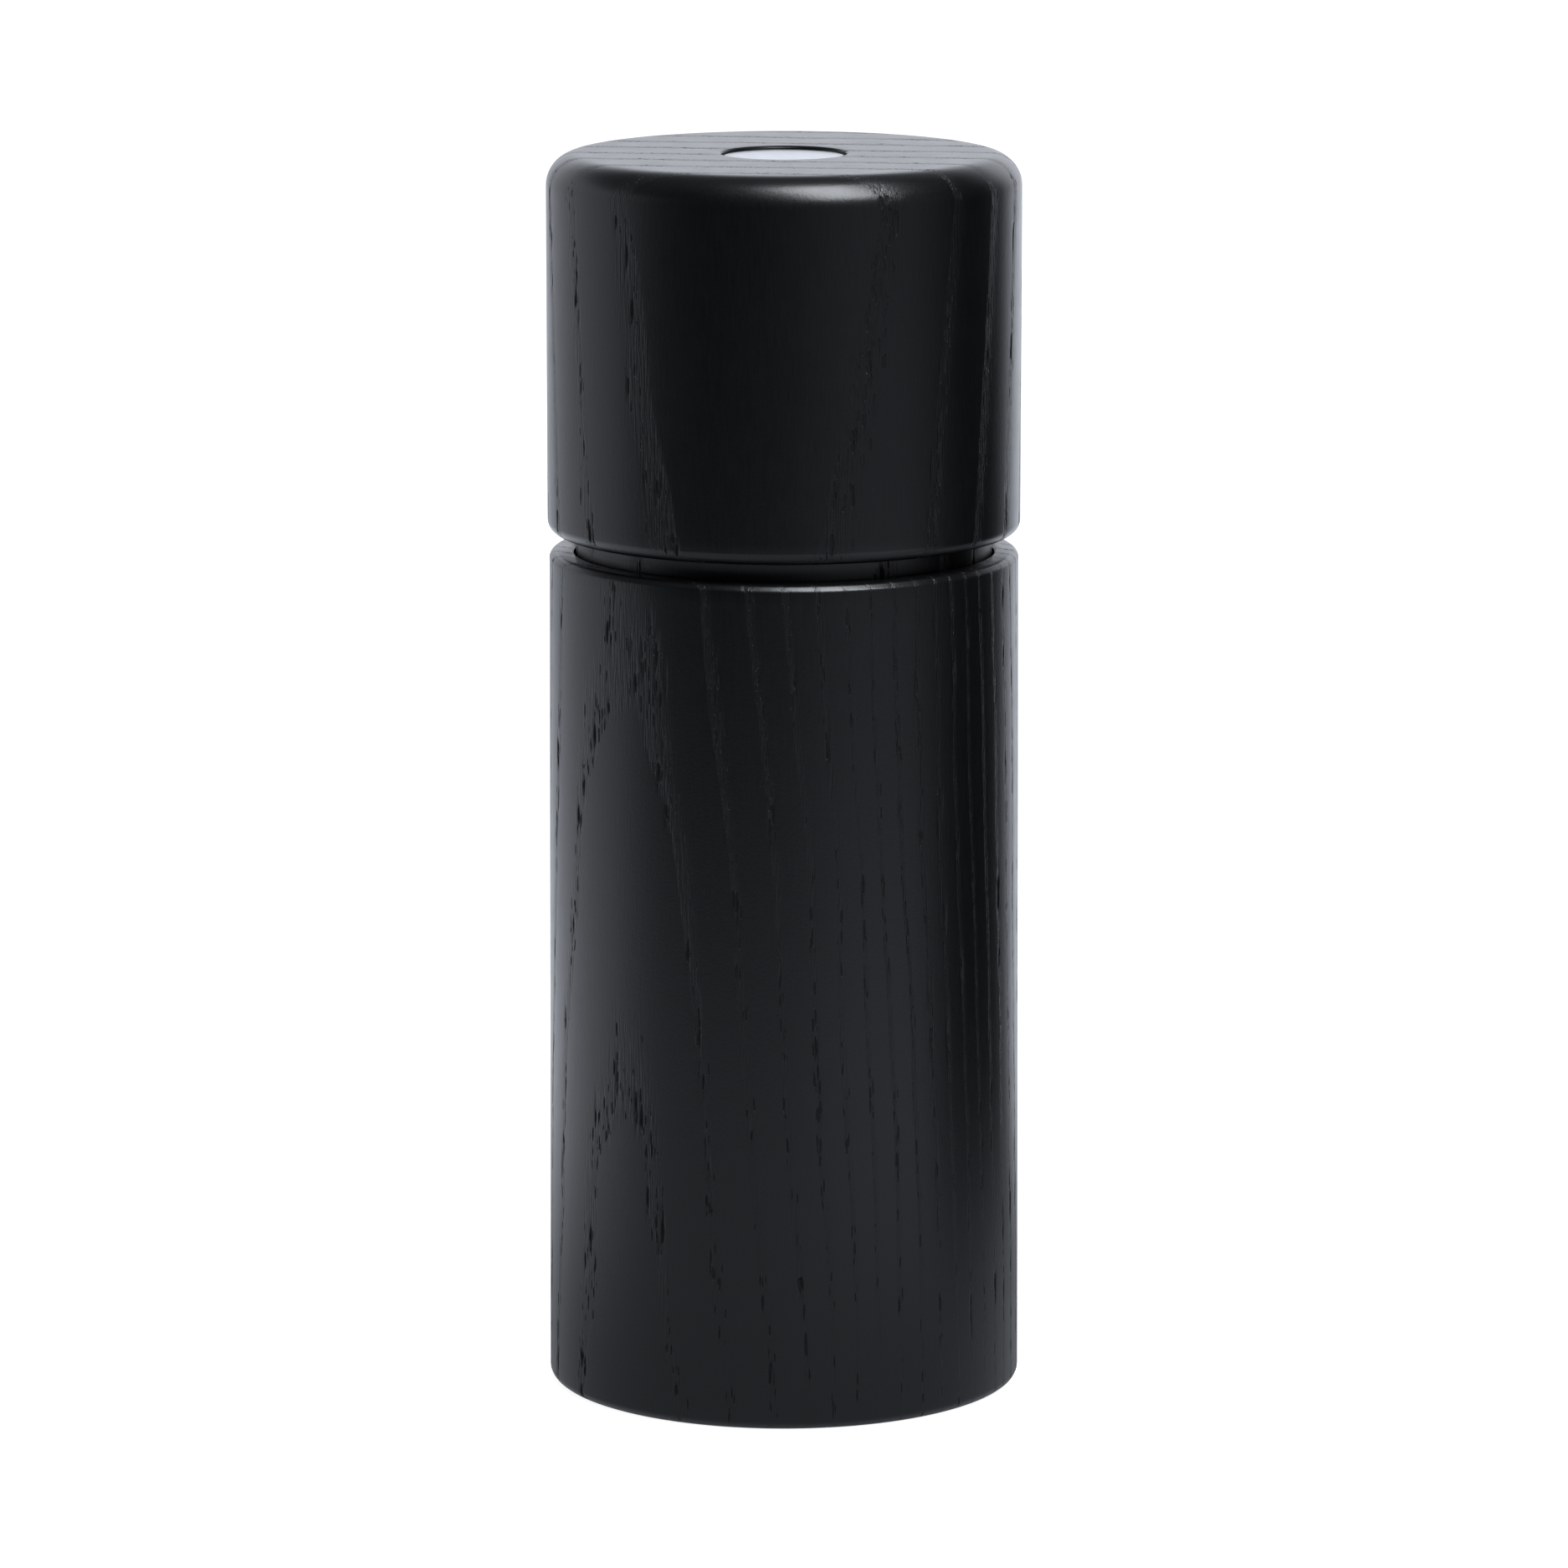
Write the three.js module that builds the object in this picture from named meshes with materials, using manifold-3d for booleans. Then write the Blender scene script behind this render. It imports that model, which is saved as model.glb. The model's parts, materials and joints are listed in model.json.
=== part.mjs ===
// A turned ash pepper mill with a ceramic grinding mechanism, as it comes apart on a bench.
// Millimetres, +Z up. The origin is the centre of the base, on the surface that the mill stands on.
// The head drives a square shaft, the shaft turns a ceramic cone inside a fixed ceramic ring,
// and a knob under the base lifts or lowers the cone to set how fine the mill grinds.
import * as THREE from "three";
import { mergeVertices } from "three/addons/utils/BufferGeometryUtils.js";
import Module from "manifold-3d";

const wasm = await Module();
wasm.setup();

// ---------------------------------------------------------------- driving sizes
// Turned outside
const MILL_HEIGHT = 158;
const HEAD_HEIGHT = 48;
const SHADOW_GAP = 2.4; // open groove between the body's rim and the head
const MILL_DIAMETER = 60; // the head's outside
const BODY_TOP_RELIEF = 0.2; // the body's rim is this much smaller in radius than the head
const BODY_FOOT_FLARE = 0.2; // and its foot is this much larger
const HEAD_TOP_ROUND = 4;
const HEAD_LOWER_ROUND = 1.6;
const BODY_RIM_ROUND = 1;
const BODY_FOOT_ROUND = 1.2;
const ARRIS = 0.4; // broken edge of a bored hole in wood

// Bores in the wood
const MOUTH_WALL = 3.1; // wood around the head's spigot
const CHAMBER_WALL = 9.8; // wood around the peppercorn chamber
const FOOT_WALL = 4.4; // wood around the recess under the base
const SPIGOT_LENGTH = 13; // below the head's shoulder
const RECESS_DEPTH = 8; // recess under the base, which keeps the knob off the table

// Clearances
const RUNNING_FIT = 0.3; // radial, between pieces that turn or slide on each other
const PRESS_GAP = 0.3; // radial, between pieces that are pushed together
const SEAT_GAP = 0.1; // axial, between faces that rest on each other
const SQUARE_FIT = 0.2; // on each side of the square shaft

// Disc let into the top
const DISC_DIAMETER = 15.4;
const DISC_THICKNESS = 1.2;
const DISC_SET_DOWN = 0.4; // its face lies this far below the top of the head
const ADHESIVE_THICKNESS = 0.4;
const ADHESIVE_INSET = 1;

// Shaft
const SHAFT_SQUARE = 7;
const SHAFT_CORNER = 0.8;
const SHAFT_ENGAGEMENT = 20; // length inside the head's socket
const STEM_DIAMETER = 5; // threaded end under the square
const STEM_SHOULDER = 3.9; // the square ends this far above the carrier's underside
const STEM_PAST_CLIP = 0.5;
const CLIP_THICKNESS = 0.8;
const CLIP_RIM = 2; // width of a clip's ring
const CLIP_GROOVE_DEPTH = 0.6;

// Socket in the head
const SOCKET_WALL = 4; // around the shaft's corners
const SOCKET_FLANGE_WIDTH = 6;
const SOCKET_FLANGE_THICKNESS = 2.2;
const SOCKET_CROWN = 3; // solid end above the shaft
const COLLET_RING_WIRE = 1.2;
const COLLET_RING_HEIGHT = 9; // above the flange

// Grinding mechanism
const BARREL_WALL = 2.4;
const BARREL_HEIGHT = 36; // above the shoulder in the wood
const FLANGE_THICKNESS = 3;
const RETAINER_HEIGHT = 2.9;
const STATOR_HEIGHT = 12;
const STATOR_WALL = 3.3; // at the fine end of the ring
const THROAT_WALL = 2.6; // at the open end, where the peppercorns go in
const FINE_ZONE_HEIGHT = 4;
const STEP_HEIGHT = 2; // shelf that the ring is pushed up against
const STEP_WIDTH = 2;
const SPIDER_HEIGHT = 4;
const SPIDER_ARM_WIDTH = 4;
const HUB_WALL = 2.6;
const HUB_LENGTH = 8;
const SLEEVE_WALL = 1.1; // around the shaft's corners
const SLEEVE_FLANGE_WIDTH = 2.4;
const SLEEVE_FLANGE_THICKNESS = 1.5;
const CARRIER_WALL = 1.6; // around the shaft's corners
const CARRIER_FLANGE_WIDTH = 3.2;
const CARRIER_FLANGE_THICKNESS = 2;
const CARRIER_CROWN = 1.1; // carrier that stands above the ceramic cone
const DRIVE_LUG_WIDTH = 3;
const DRIVE_LUG_HEIGHT = 1.6;
const CONE_HEIGHT = 14;
const CONE_TOP_WALL = 2.3;
const GRIND_GAP = 0.5; // radial, between cone and ring at the middle setting
const SETTING_TRAVEL = 0.5; // the cone moves this far up and down
const CONE_TEETH = 14;
const CONE_TOOTH_DEPTH = 1.3;
const RING_TEETH = 18;
const RING_TOOTH_DEPTH = 0.9;
const TOOTH_TWIST = 0.5; // turn of the cone's teeth from bottom to top, in radians
const SPRING_WIRE = 1;
const SPRING_TURNS = 4;
const WASHER_THICKNESS = 0.8;
const CLICK_WASHER_THICKNESS = 0.5;

// Adjusting knob
const KNOB_DIAMETER = 21;
const KNOB_BASE = 1.2; // height of its underside above the table
const KNOB_FLUTES = 12;
const KNOB_FLUTE_DEPTH = 0.7;
const KNOB_SKIRT_WALL = 1.6;
const KNOB_WEB = 2.6; // thickness of its floor at the stem
const KNOB_BOSS_WALL = 3;
const KNOB_BOSS_DROP = 1; // the boss reaches this far below the floor

// Wood screws
const SCREW_HEAD_DIAMETER = 4.8;
const SCREW_SHANK_DIAMETER = 2.6;
const SCREW_HEAD_HEIGHT = 1.5;
const SCREW_LENGTH = 11;
const SCREW_TIP = 2;
const SCREW_SLOT_WIDTH = 0.7;
const SCREW_SLOT_DEPTH = 0.8;
const SCREWS = 3;

// Facets around a circle
const FINE = 48;
const MEDIUM = 24;
const COARSE = 15;

// ---------------------------------------------------------------- sizes that follow
const headRadius = MILL_DIAMETER / 2;
const rimRadius = headRadius - BODY_TOP_RELIEF;
const footRadius = headRadius + BODY_FOOT_FLARE;
const headBottom = MILL_HEIGHT - HEAD_HEIGHT;
const bodyTop = headBottom - SHADOW_GAP;
const mouthRadius = rimRadius - MOUTH_WALL;
const chamberRadius = rimRadius - CHAMBER_WALL;
const recessRadius = footRadius - FOOT_WALL;
const spigotRadius = mouthRadius - RUNNING_FIT;
const spigotBottom = headBottom - SPIGOT_LENGTH;
const mouthFloor = spigotBottom - SEAT_GAP;

const shaftHalf = SHAFT_SQUARE / 2;
const shaftCornerRadius = Math.hypot(shaftHalf, shaftHalf) - SHAFT_CORNER * (Math.SQRT2 - 1);
const stemRadius = STEM_DIAMETER / 2;
const shaftTop = spigotBottom + SHAFT_ENGAGEMENT;

const socketRadius = shaftCornerRadius + SOCKET_WALL;
const socketFlangeRadius = socketRadius + SOCKET_FLANGE_WIDTH;
const socketFlangeTop = spigotBottom + SOCKET_FLANGE_THICKNESS;
const socketHoleTop = shaftTop + 2 * SEAT_GAP;
const socketTop = socketHoleTop + SOCKET_CROWN;
const colletRingZ = socketFlangeTop + COLLET_RING_HEIGHT;
const socketScrewCircle = (socketRadius + socketFlangeRadius) / 2;

const flangeTop = RECESS_DEPTH - SEAT_GAP;
const flangeBottom = flangeTop - FLANGE_THICKNESS;
const flangeRadius = recessRadius - PRESS_GAP;
const barrelRadius = chamberRadius - PRESS_GAP;
const barrelBore = barrelRadius - BARREL_WALL;
const barrelTop = RECESS_DEPTH + BARREL_HEIGHT;
const housingScrewCircle = (barrelRadius + flangeRadius) / 2;
const retainerBottom = RECESS_DEPTH;
const statorBottom = retainerBottom + RETAINER_HEIGHT + SEAT_GAP;
const statorTop = statorBottom + STATOR_HEIGHT;
const stepBottom = statorTop + SEAT_GAP;
const stepTop = stepBottom + STEP_HEIGHT;
const stepRadius = barrelBore - STEP_WIDTH;
const statorRadius = barrelBore - PRESS_GAP;

const sleeveRadius = shaftCornerRadius + SLEEVE_WALL;
const hubBore = sleeveRadius + RUNNING_FIT;
const hubRadius = hubBore + HUB_WALL;
const hubBottom = barrelTop - HUB_LENGTH;
const sleeveFlangeBottom = barrelTop + SEAT_GAP;
const sleeveFlangeTop = sleeveFlangeBottom + SLEEVE_FLANGE_THICKNESS;

const carrierRadius = shaftCornerRadius + CARRIER_WALL;
const carrierFlangeRadius = carrierRadius + CARRIER_FLANGE_WIDTH;
const carrierBottom = statorBottom - CARRIER_FLANGE_THICKNESS + SEAT_GAP;
const carrierFlangeTop = carrierBottom + CARRIER_FLANGE_THICKNESS;
const coneBottom = carrierFlangeTop + SEAT_GAP;
const coneTop = coneBottom + CONE_HEIGHT;
const carrierTop = coneTop + CARRIER_CROWN;
const coneBore = carrierRadius + PRESS_GAP;
const coneTopRadius = coneBore + CONE_TOP_WALL;
const coneBaseRadius = statorRadius - STATOR_WALL - GRIND_GAP;
const coneSlope = (coneBaseRadius - coneTopRadius) / CONE_HEIGHT;
const clickWasherTop = carrierBottom - SEAT_GAP;
const clickWasherBottom = clickWasherTop - CLICK_WASHER_THICKNESS;
const knobTop = clickWasherBottom - SEAT_GAP;
const knobRadius = KNOB_DIAMETER / 2;
const knobBossRadius = stemRadius + RUNNING_FIT + KNOB_BOSS_WALL;
const knobBossBottom = knobTop - KNOB_WEB - KNOB_BOSS_DROP;
const stemClipBottom = knobBossBottom - SETTING_TRAVEL - RUNNING_FIT - CLIP_THICKNESS;
const stemEnd = stemClipBottom - STEM_PAST_CLIP;
const squareEnd = carrierBottom + STEM_SHOULDER;

const washerTop = hubBottom - SEAT_GAP;
const washerBottom = washerTop - WASHER_THICKNESS;
const springBottom = carrierTop + SEAT_GAP;
const springTop = washerBottom - SEAT_GAP;
const springRadius = shaftCornerRadius + RUNNING_FIT + SPRING_WIRE / 2;

// ---------------------------------------------------------------- finishes
function finish(color, roughness, metalness) {
  return new THREE.MeshStandardMaterial({ color, roughness, metalness });
}
const blackAsh = finish(0x1c1d20, 0.5, 0);
const spunSteel = finish(0xd9dadc, 0.25, 1);
const blackPlastic = finish(0x1a1a1b, 0.55, 0);
const greyPlastic = finish(0x8b8d8f, 0.5, 0);
const whiteCeramic = finish(0xe9e6df, 0.4, 0);
const aluminium = finish(0xc4c6c8, 0.35, 1);
const springSteel = finish(0x9a9c9f, 0.3, 1);
const adhesive = finish(0xb9b9b4, 0.9, 0);

// ---------------------------------------------------------------- making solids
// A solid of revolution about Z. The profile is a list of [radius, height], anticlockwise, and it either
// starts and ends on the axis or is closed here on itself. shape(radius, height, angle) may press a form
// into it by giving back a new radius.
function turned(profile, facets, shape) {
  const points = profile.map(([r, z]) => new THREE.Vector2(r, z));
  if (profile[0][0] > 0) points.push(points[0].clone());
  const geometry = new THREE.LatheGeometry(points, facets).rotateX(Math.PI / 2);
  if (shape) {
    const place = geometry.getAttribute("position");
    for (let i = 0; i < place.count; i++) {
      const [x, y, z] = [place.getX(i), place.getY(i), place.getZ(i)];
      const radius = Math.hypot(x, y);
      const scale = radius > 0 ? shape(radius, z, Math.atan2(y, x)) / radius : 1;
      place.setXY(i, x * scale, y * scale);
    }
  }
  return geometry;
}

// A quarter round of a profile, as points from one angle to another about its centre.
function quarterRound(centreRadius, centreHeight, size, from, to, steps = 4) {
  const points = [];
  for (let i = 0; i <= steps; i++) {
    const angle = THREE.MathUtils.degToRad(from + ((to - from) * i) / steps);
    points.push([centreRadius + size * Math.cos(angle), centreHeight + size * Math.sin(angle)]);
  }
  return points;
}

// A plain ring with a rectangular section.
function ring(inner, outer, bottom, top, facets) {
  return turned([[inner, bottom], [outer, bottom], [outer, top], [inner, top]], facets);
}

// A plain round bar on the Z axis.
function bar(radius, bottom, top, facets) {
  return turned([[0, bottom], [radius, bottom], [radius, top], [0, top]], facets);
}

function box(width, depth, height, x, y, z) {
  return new THREE.BoxGeometry(width, depth, height).translate(x, y, z);
}

// A square bar on the Z axis, with rounded corners.
function squareBar(half, corner, bottom, top) {
  const shape = new THREE.Shape();
  const flat = half - corner;
  shape.absarc(flat, flat, corner, 0, Math.PI / 2);
  shape.absarc(-flat, flat, corner, Math.PI / 2, Math.PI);
  shape.absarc(-flat, -flat, corner, Math.PI, 1.5 * Math.PI);
  shape.absarc(flat, -flat, corner, 1.5 * Math.PI, 2 * Math.PI);
  const options = { depth: top - bottom, bevelEnabled: false, curveSegments: 3 };
  return new THREE.ExtrudeGeometry(shape, options).translate(0, 0, bottom);
}

// The same piece set round a circle, as a list of geometries.
function roundCircle(geometry, radius, count, start = 0) {
  return Array.from({ length: count }, (_, i) =>
    geometry
      .clone()
      .translate(radius, 0, 0)
      .rotateZ(start + (i * 2 * Math.PI) / count),
  );
}

// ---------------------------------------------------------------- cutting and joining
function solid(geometry) {
  const plain = geometry.index ? geometry.toNonIndexed() : geometry.clone();
  plain.deleteAttribute("normal");
  plain.deleteAttribute("uv");
  const merged = mergeVertices(plain, 1e-4);
  return new wasm.Manifold(
    new wasm.Mesh({
      numProp: 3,
      vertProperties: merged.getAttribute("position").array,
      triVerts: new Uint32Array(merged.index.array),
    }),
  );
}

function geometryOf(manifold) {
  const made = manifold.getMesh();
  const place = new Float32Array(made.numVert * 3);
  for (let i = 0; i < made.numVert; i++) {
    place.set(made.vertProperties.subarray(i * made.numProp, i * made.numProp + 3), i * 3);
  }
  const geometry = new THREE.BufferGeometry();
  geometry.setAttribute("position", new THREE.BufferAttribute(place, 3));
  geometry.setIndex(new THREE.BufferAttribute(new Uint32Array(made.triVerts), 1));
  geometry.computeVertexNormals();
  return geometry;
}

function cut(geometry, ...tools) {
  return geometryOf(tools.reduce((left, tool) => left.subtract(solid(tool)), solid(geometry)));
}

function joined(geometry, ...others) {
  return geometryOf(others.reduce((sum, other) => sum.add(solid(other)), solid(geometry)));
}

// ---------------------------------------------------------------- fasteners and clips
// A countersunk wood screw on the Z axis, head down at z = 0 and point up.
function woodScrew() {
  const head = SCREW_HEAD_DIAMETER / 2;
  const shank = SCREW_SHANK_DIAMETER / 2;
  const blank = turned(
    [
      [0, 0],
      [head, 0],
      [shank, SCREW_HEAD_HEIGHT],
      [shank, SCREW_LENGTH - SCREW_TIP],
      [0, SCREW_LENGTH],
    ],
    12,
  );
  const slotLength = SCREW_HEAD_DIAMETER * 0.6;
  const depth = 2 * SCREW_SLOT_DEPTH;
  return cut(
    blank,
    box(slotLength, SCREW_SLOT_WIDTH, depth, 0, 0, 0),
    box(SCREW_SLOT_WIDTH, slotLength, depth, 0, 0, 0),
  );
}

// What a wood screw needs cut for it: the same outline with clearance all round.
function screwHole() {
  const head = SCREW_HEAD_DIAMETER / 2 + PRESS_GAP;
  const shank = SCREW_SHANK_DIAMETER / 2 + PRESS_GAP;
  return turned(
    [
      [0, -1],
      [head, -1],
      [head, SEAT_GAP],
      [shank, SEAT_GAP + SCREW_HEAD_HEIGHT],
      [shank, SCREW_LENGTH + PRESS_GAP],
      [0, SCREW_LENGTH + PRESS_GAP],
    ],
    12,
  );
}

// A snap-on clip for a groove of the given neck, lying at the given height and open towards +X.
function snapClip(neck, bottom) {
  const plate = ring(neck + SEAT_GAP, neck + CLIP_RIM, bottom, bottom + CLIP_THICKNESS, COARSE);
  const opening = 1.5 * neck;
  const reach = neck + CLIP_RIM + 1;
  return cut(plate, box(reach, opening, 3 * CLIP_THICKNESS, reach / 2, 0, bottom));
}

// ---------------------------------------------------------------- wood
function bodyShell() {
  const blank = turned(
    [
      [recessRadius + ARRIS, 0],
      ...quarterRound(footRadius - BODY_FOOT_ROUND, BODY_FOOT_ROUND, BODY_FOOT_ROUND, -90, 0, 3),
      ...quarterRound(rimRadius - BODY_RIM_ROUND, bodyTop - BODY_RIM_ROUND, BODY_RIM_ROUND, 0, 90, 3),
      [mouthRadius + ARRIS, bodyTop],
      [mouthRadius, bodyTop - ARRIS],
      [mouthRadius, mouthFloor],
      [chamberRadius + ARRIS, mouthFloor],
      [chamberRadius, mouthFloor - ARRIS],
      [chamberRadius, RECESS_DEPTH],
      [recessRadius, RECESS_DEPTH],
      [recessRadius, ARRIS],
    ],
    FINE,
  );
  const hole = screwHole().translate(0, 0, flangeBottom);
  return cut(blank, ...roundCircle(hole, housingScrewCircle, SCREWS));
}

function headShell() {
  const discHole = DISC_DIAMETER / 2 + PRESS_GAP;
  const discFloor = MILL_HEIGHT - DISC_SET_DOWN - DISC_THICKNESS - ADHESIVE_THICKNESS - 2 * SEAT_GAP;
  const socketBore = socketRadius + PRESS_GAP;
  const flangeBore = socketFlangeRadius + PRESS_GAP;
  const blank = turned(
    [
      [0, socketTop + SEAT_GAP],
      [socketBore, socketTop + SEAT_GAP],
      [socketBore, socketFlangeTop + SEAT_GAP],
      [flangeBore, socketFlangeTop + SEAT_GAP],
      [flangeBore, spigotBottom],
      [spigotRadius - ARRIS, spigotBottom],
      [spigotRadius, spigotBottom + ARRIS],
      [spigotRadius, headBottom],
      ...quarterRound(
        headRadius - HEAD_LOWER_ROUND, headBottom + HEAD_LOWER_ROUND, HEAD_LOWER_ROUND, -90, 0, 3,
      ),
      ...quarterRound(headRadius - HEAD_TOP_ROUND, MILL_HEIGHT - HEAD_TOP_ROUND, HEAD_TOP_ROUND, 0, 90, 5),
      [discHole, MILL_HEIGHT],
      [discHole, discFloor],
      [0, discFloor],
    ],
    FINE,
  );
  const hole = screwHole().translate(0, 0, spigotBottom);
  return cut(blank, ...roundCircle(hole, socketScrewCircle, SCREWS, Math.PI));
}

// ---------------------------------------------------------------- pieces in the head
function topDisc() {
  const radius = DISC_DIAMETER / 2;
  const face = MILL_HEIGHT - DISC_SET_DOWN;
  const edge = 0.2;
  return turned(
    [
      [0, face - DISC_THICKNESS],
      [radius, face - DISC_THICKNESS],
      [radius, face - edge],
      [radius - edge, face],
      [0, face],
    ],
    MEDIUM,
  );
}

function discAdhesive() {
  const top = MILL_HEIGHT - DISC_SET_DOWN - DISC_THICKNESS - SEAT_GAP;
  return bar(DISC_DIAMETER / 2 - ADHESIVE_INSET, top - ADHESIVE_THICKNESS, top, COARSE);
}

function driveSocket() {
  const groove = socketRadius - COLLET_RING_WIRE - SEAT_GAP - PRESS_GAP;
  const half = COLLET_RING_WIRE / 2 + SEAT_GAP;
  const blank = turned(
    [
      [0, spigotBottom],
      [socketFlangeRadius, spigotBottom],
      [socketFlangeRadius, socketFlangeTop],
      [socketRadius, socketFlangeTop],
      [socketRadius, colletRingZ - half],
      [groove, colletRingZ - half],
      [groove, colletRingZ + half],
      [socketRadius, colletRingZ + half],
      [socketRadius, socketTop - 1],
      [socketRadius - 1, socketTop],
      [0, socketTop],
    ],
    MEDIUM,
  );
  const holeHalf = shaftHalf + SQUARE_FIT;
  const hole = screwHole().translate(0, 0, spigotBottom);
  return cut(
    blank,
    squareBar(holeHalf, SHAFT_CORNER, spigotBottom - 1, socketHoleTop),
    ...roundCircle(hole, socketScrewCircle, SCREWS, Math.PI),
  );
}

// A sprung wire ring that squeezes the socket onto the shaft, with a gap on its -X side.
function colletRing() {
  const wire = COLLET_RING_WIRE / 2;
  const centre = socketRadius - wire - SEAT_GAP;
  const round = quarterRound(centre, colletRingZ, wire, 0, 315, 7);
  const gap = box(2 * centre, 2 * COLLET_RING_WIRE, 2 * COLLET_RING_WIRE, -centre, 0, colletRingZ);
  return cut(turned(round, MEDIUM), gap);
}

// ---------------------------------------------------------------- shaft and what is on it
function driveShaft() {
  const square = squareBar(shaftHalf, SHAFT_CORNER, squareEnd, shaftTop);
  const stem = turned(
    [
      [0, stemEnd],
      [stemRadius - 2 * SEAT_GAP, stemEnd],
      [stemRadius, stemEnd + 2 * SEAT_GAP],
      [stemRadius, squareEnd + 1],
      [0, squareEnd + 1],
    ],
    COARSE,
  );
  const grooveHeight = CLIP_THICKNESS + 2 * SEAT_GAP;
  const upperGroove = ring(
    shaftHalf - CLIP_GROOVE_DEPTH, SHAFT_SQUARE,
    sleeveFlangeTop, sleeveFlangeTop + grooveHeight, COARSE,
  );
  const lowerGroove = ring(
    stemRadius - CLIP_GROOVE_DEPTH, STEM_DIAMETER,
    stemClipBottom - SEAT_GAP, stemClipBottom - SEAT_GAP + grooveHeight, COARSE,
  );
  return cut(joined(square, stem), upperGroove, lowerGroove);
}

function shaftSleeve() {
  const blank = turned(
    [
      [0, washerTop + SEAT_GAP],
      [sleeveRadius, washerTop + SEAT_GAP],
      [sleeveRadius, sleeveFlangeBottom],
      [sleeveRadius + SLEEVE_FLANGE_WIDTH, sleeveFlangeBottom],
      [sleeveRadius + SLEEVE_FLANGE_WIDTH, sleeveFlangeTop],
      [0, sleeveFlangeTop],
    ],
    MEDIUM,
  );
  const hole = squareBar(shaftHalf + SQUARE_FIT, SHAFT_CORNER, washerTop - 1, sleeveFlangeTop + 1);
  return cut(blank, hole);
}

function springWasher() {
  const plate = bar(sleeveRadius + 1, washerBottom, washerTop, MEDIUM);
  return cut(plate, squareBar(shaftHalf + SQUARE_FIT, SHAFT_CORNER, washerBottom - 1, washerTop + 1));
}

// The spring's wire follows a helix whose first and last half turns lie flat.
class SpringLine extends THREE.Curve {
  getPoint(t, target = new THREE.Vector3()) {
    const angle = t * SPRING_TURNS * 2 * Math.PI;
    const flat = 0.5 / SPRING_TURNS;
    const climb = THREE.MathUtils.clamp((t - flat) / (1 - 2 * flat), 0, 1);
    const low = springBottom + SPRING_WIRE / 2;
    const high = springTop - SPRING_WIRE / 2;
    return target.set(
      springRadius * Math.cos(angle),
      springRadius * Math.sin(angle),
      low + (high - low) * climb,
    );
  }
}

function rotorSpring() {
  const section = new THREE.Shape();
  section.absarc(0, 0, SPRING_WIRE / 2, 0, 2 * Math.PI);
  return new THREE.ExtrudeGeometry(section, {
    extrudePath: new SpringLine(),
    steps: SPRING_TURNS * 12,
    curveSegments: 3,
    bevelEnabled: false,
  });
}

function rotorCarrier() {
  const blank = turned(
    [
      [0, carrierBottom],
      [carrierFlangeRadius, carrierBottom],
      [carrierFlangeRadius, carrierFlangeTop],
      [carrierRadius, carrierFlangeTop],
      [carrierRadius, carrierTop],
      [0, carrierTop],
    ],
    MEDIUM,
  );
  const lugLength = carrierFlangeRadius - carrierRadius;
  const lug = box(
    lugLength + 1, DRIVE_LUG_WIDTH, DRIVE_LUG_HEIGHT + 1,
    -lugLength / 2 - 0.5, 0, (DRIVE_LUG_HEIGHT - 1) / 2,
  ).translate(0, 0, carrierFlangeTop);
  const square = squareBar(
    shaftHalf + SQUARE_FIT, SHAFT_CORNER, squareEnd - SETTING_TRAVEL - RUNNING_FIT, carrierTop + 1,
  );
  const round = bar(stemRadius + RUNNING_FIT, carrierBottom - 1, squareEnd, COARSE);
  return cut(joined(blank, ...roundCircle(lug, carrierFlangeRadius, 2)), square, round);
}

// ---------------------------------------------------------------- ceramic grinders
function coneRadius(z) {
  return coneBaseRadius - coneSlope * (z - coneBottom);
}

// Inside radius of the ring: level with the cone for the fine grind, then opening out as a throat.
function ringRadius(z) {
  const fineTop = statorBottom + FINE_ZONE_HEIGHT;
  const share = THREE.MathUtils.clamp((z - fineTop) / (statorTop - fineTop), 0, 1);
  const throat = statorRadius - THROAT_WALL;
  return THREE.MathUtils.lerp(coneRadius(Math.min(z, fineTop)) + GRIND_GAP, throat, share);
}

// A solid plug with slanting saw teeth round it. Each tooth has one steep facet and three long ones.
// radiusAt(height) is the edge of the teeth; groove(share) is how far from it their roots are.
function toothedPlug(bottom, top, levels, teeth, radiusAt, groove, twist) {
  const side = Array.from({ length: levels + 1 }, (_, i) => {
    const z = THREE.MathUtils.lerp(bottom, top, i / levels);
    return [radiusAt(z), z];
  });
  const plug = turned([[0, bottom], ...side, [0, top]], teeth * 4);
  const place = plug.getAttribute("position");
  for (let i = 0; i < place.count; i++) {
    const z = place.getZ(i);
    const radius = Math.hypot(place.getX(i), place.getY(i));
    if (radius < 1e-3) continue;
    const facet = Math.floor(i / (levels + 3));
    const share = (z - bottom) / (top - bottom);
    const angle = (facet / teeth / 4) * 2 * Math.PI + share * twist;
    const cutBack = groove(share) * [0, 1, 2 / 3, 1 / 3][facet % 4];
    place.setXY(i, (radius + cutBack) * Math.cos(angle), (radius + cutBack) * Math.sin(angle));
  }
  return plug;
}

function rotorCone() {
  const depth = (share) => -CONE_TOOTH_DEPTH * THREE.MathUtils.lerp(0.35, 1, share);
  const plug = toothedPlug(coneBottom, coneTop, 4, CONE_TEETH, coneRadius, depth, TOOTH_TWIST);
  const slotWidth = DRIVE_LUG_WIDTH + 2 * PRESS_GAP;
  const slotLength = 2 * (carrierFlangeRadius + PRESS_GAP);
  const slot = box(slotLength, slotWidth, 2 * (DRIVE_LUG_HEIGHT + SEAT_GAP), 0, 0, coneBottom);
  return cut(plug, bar(coneBore, coneBottom - 1, coneTop + 1, MEDIUM), slot);
}

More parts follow.
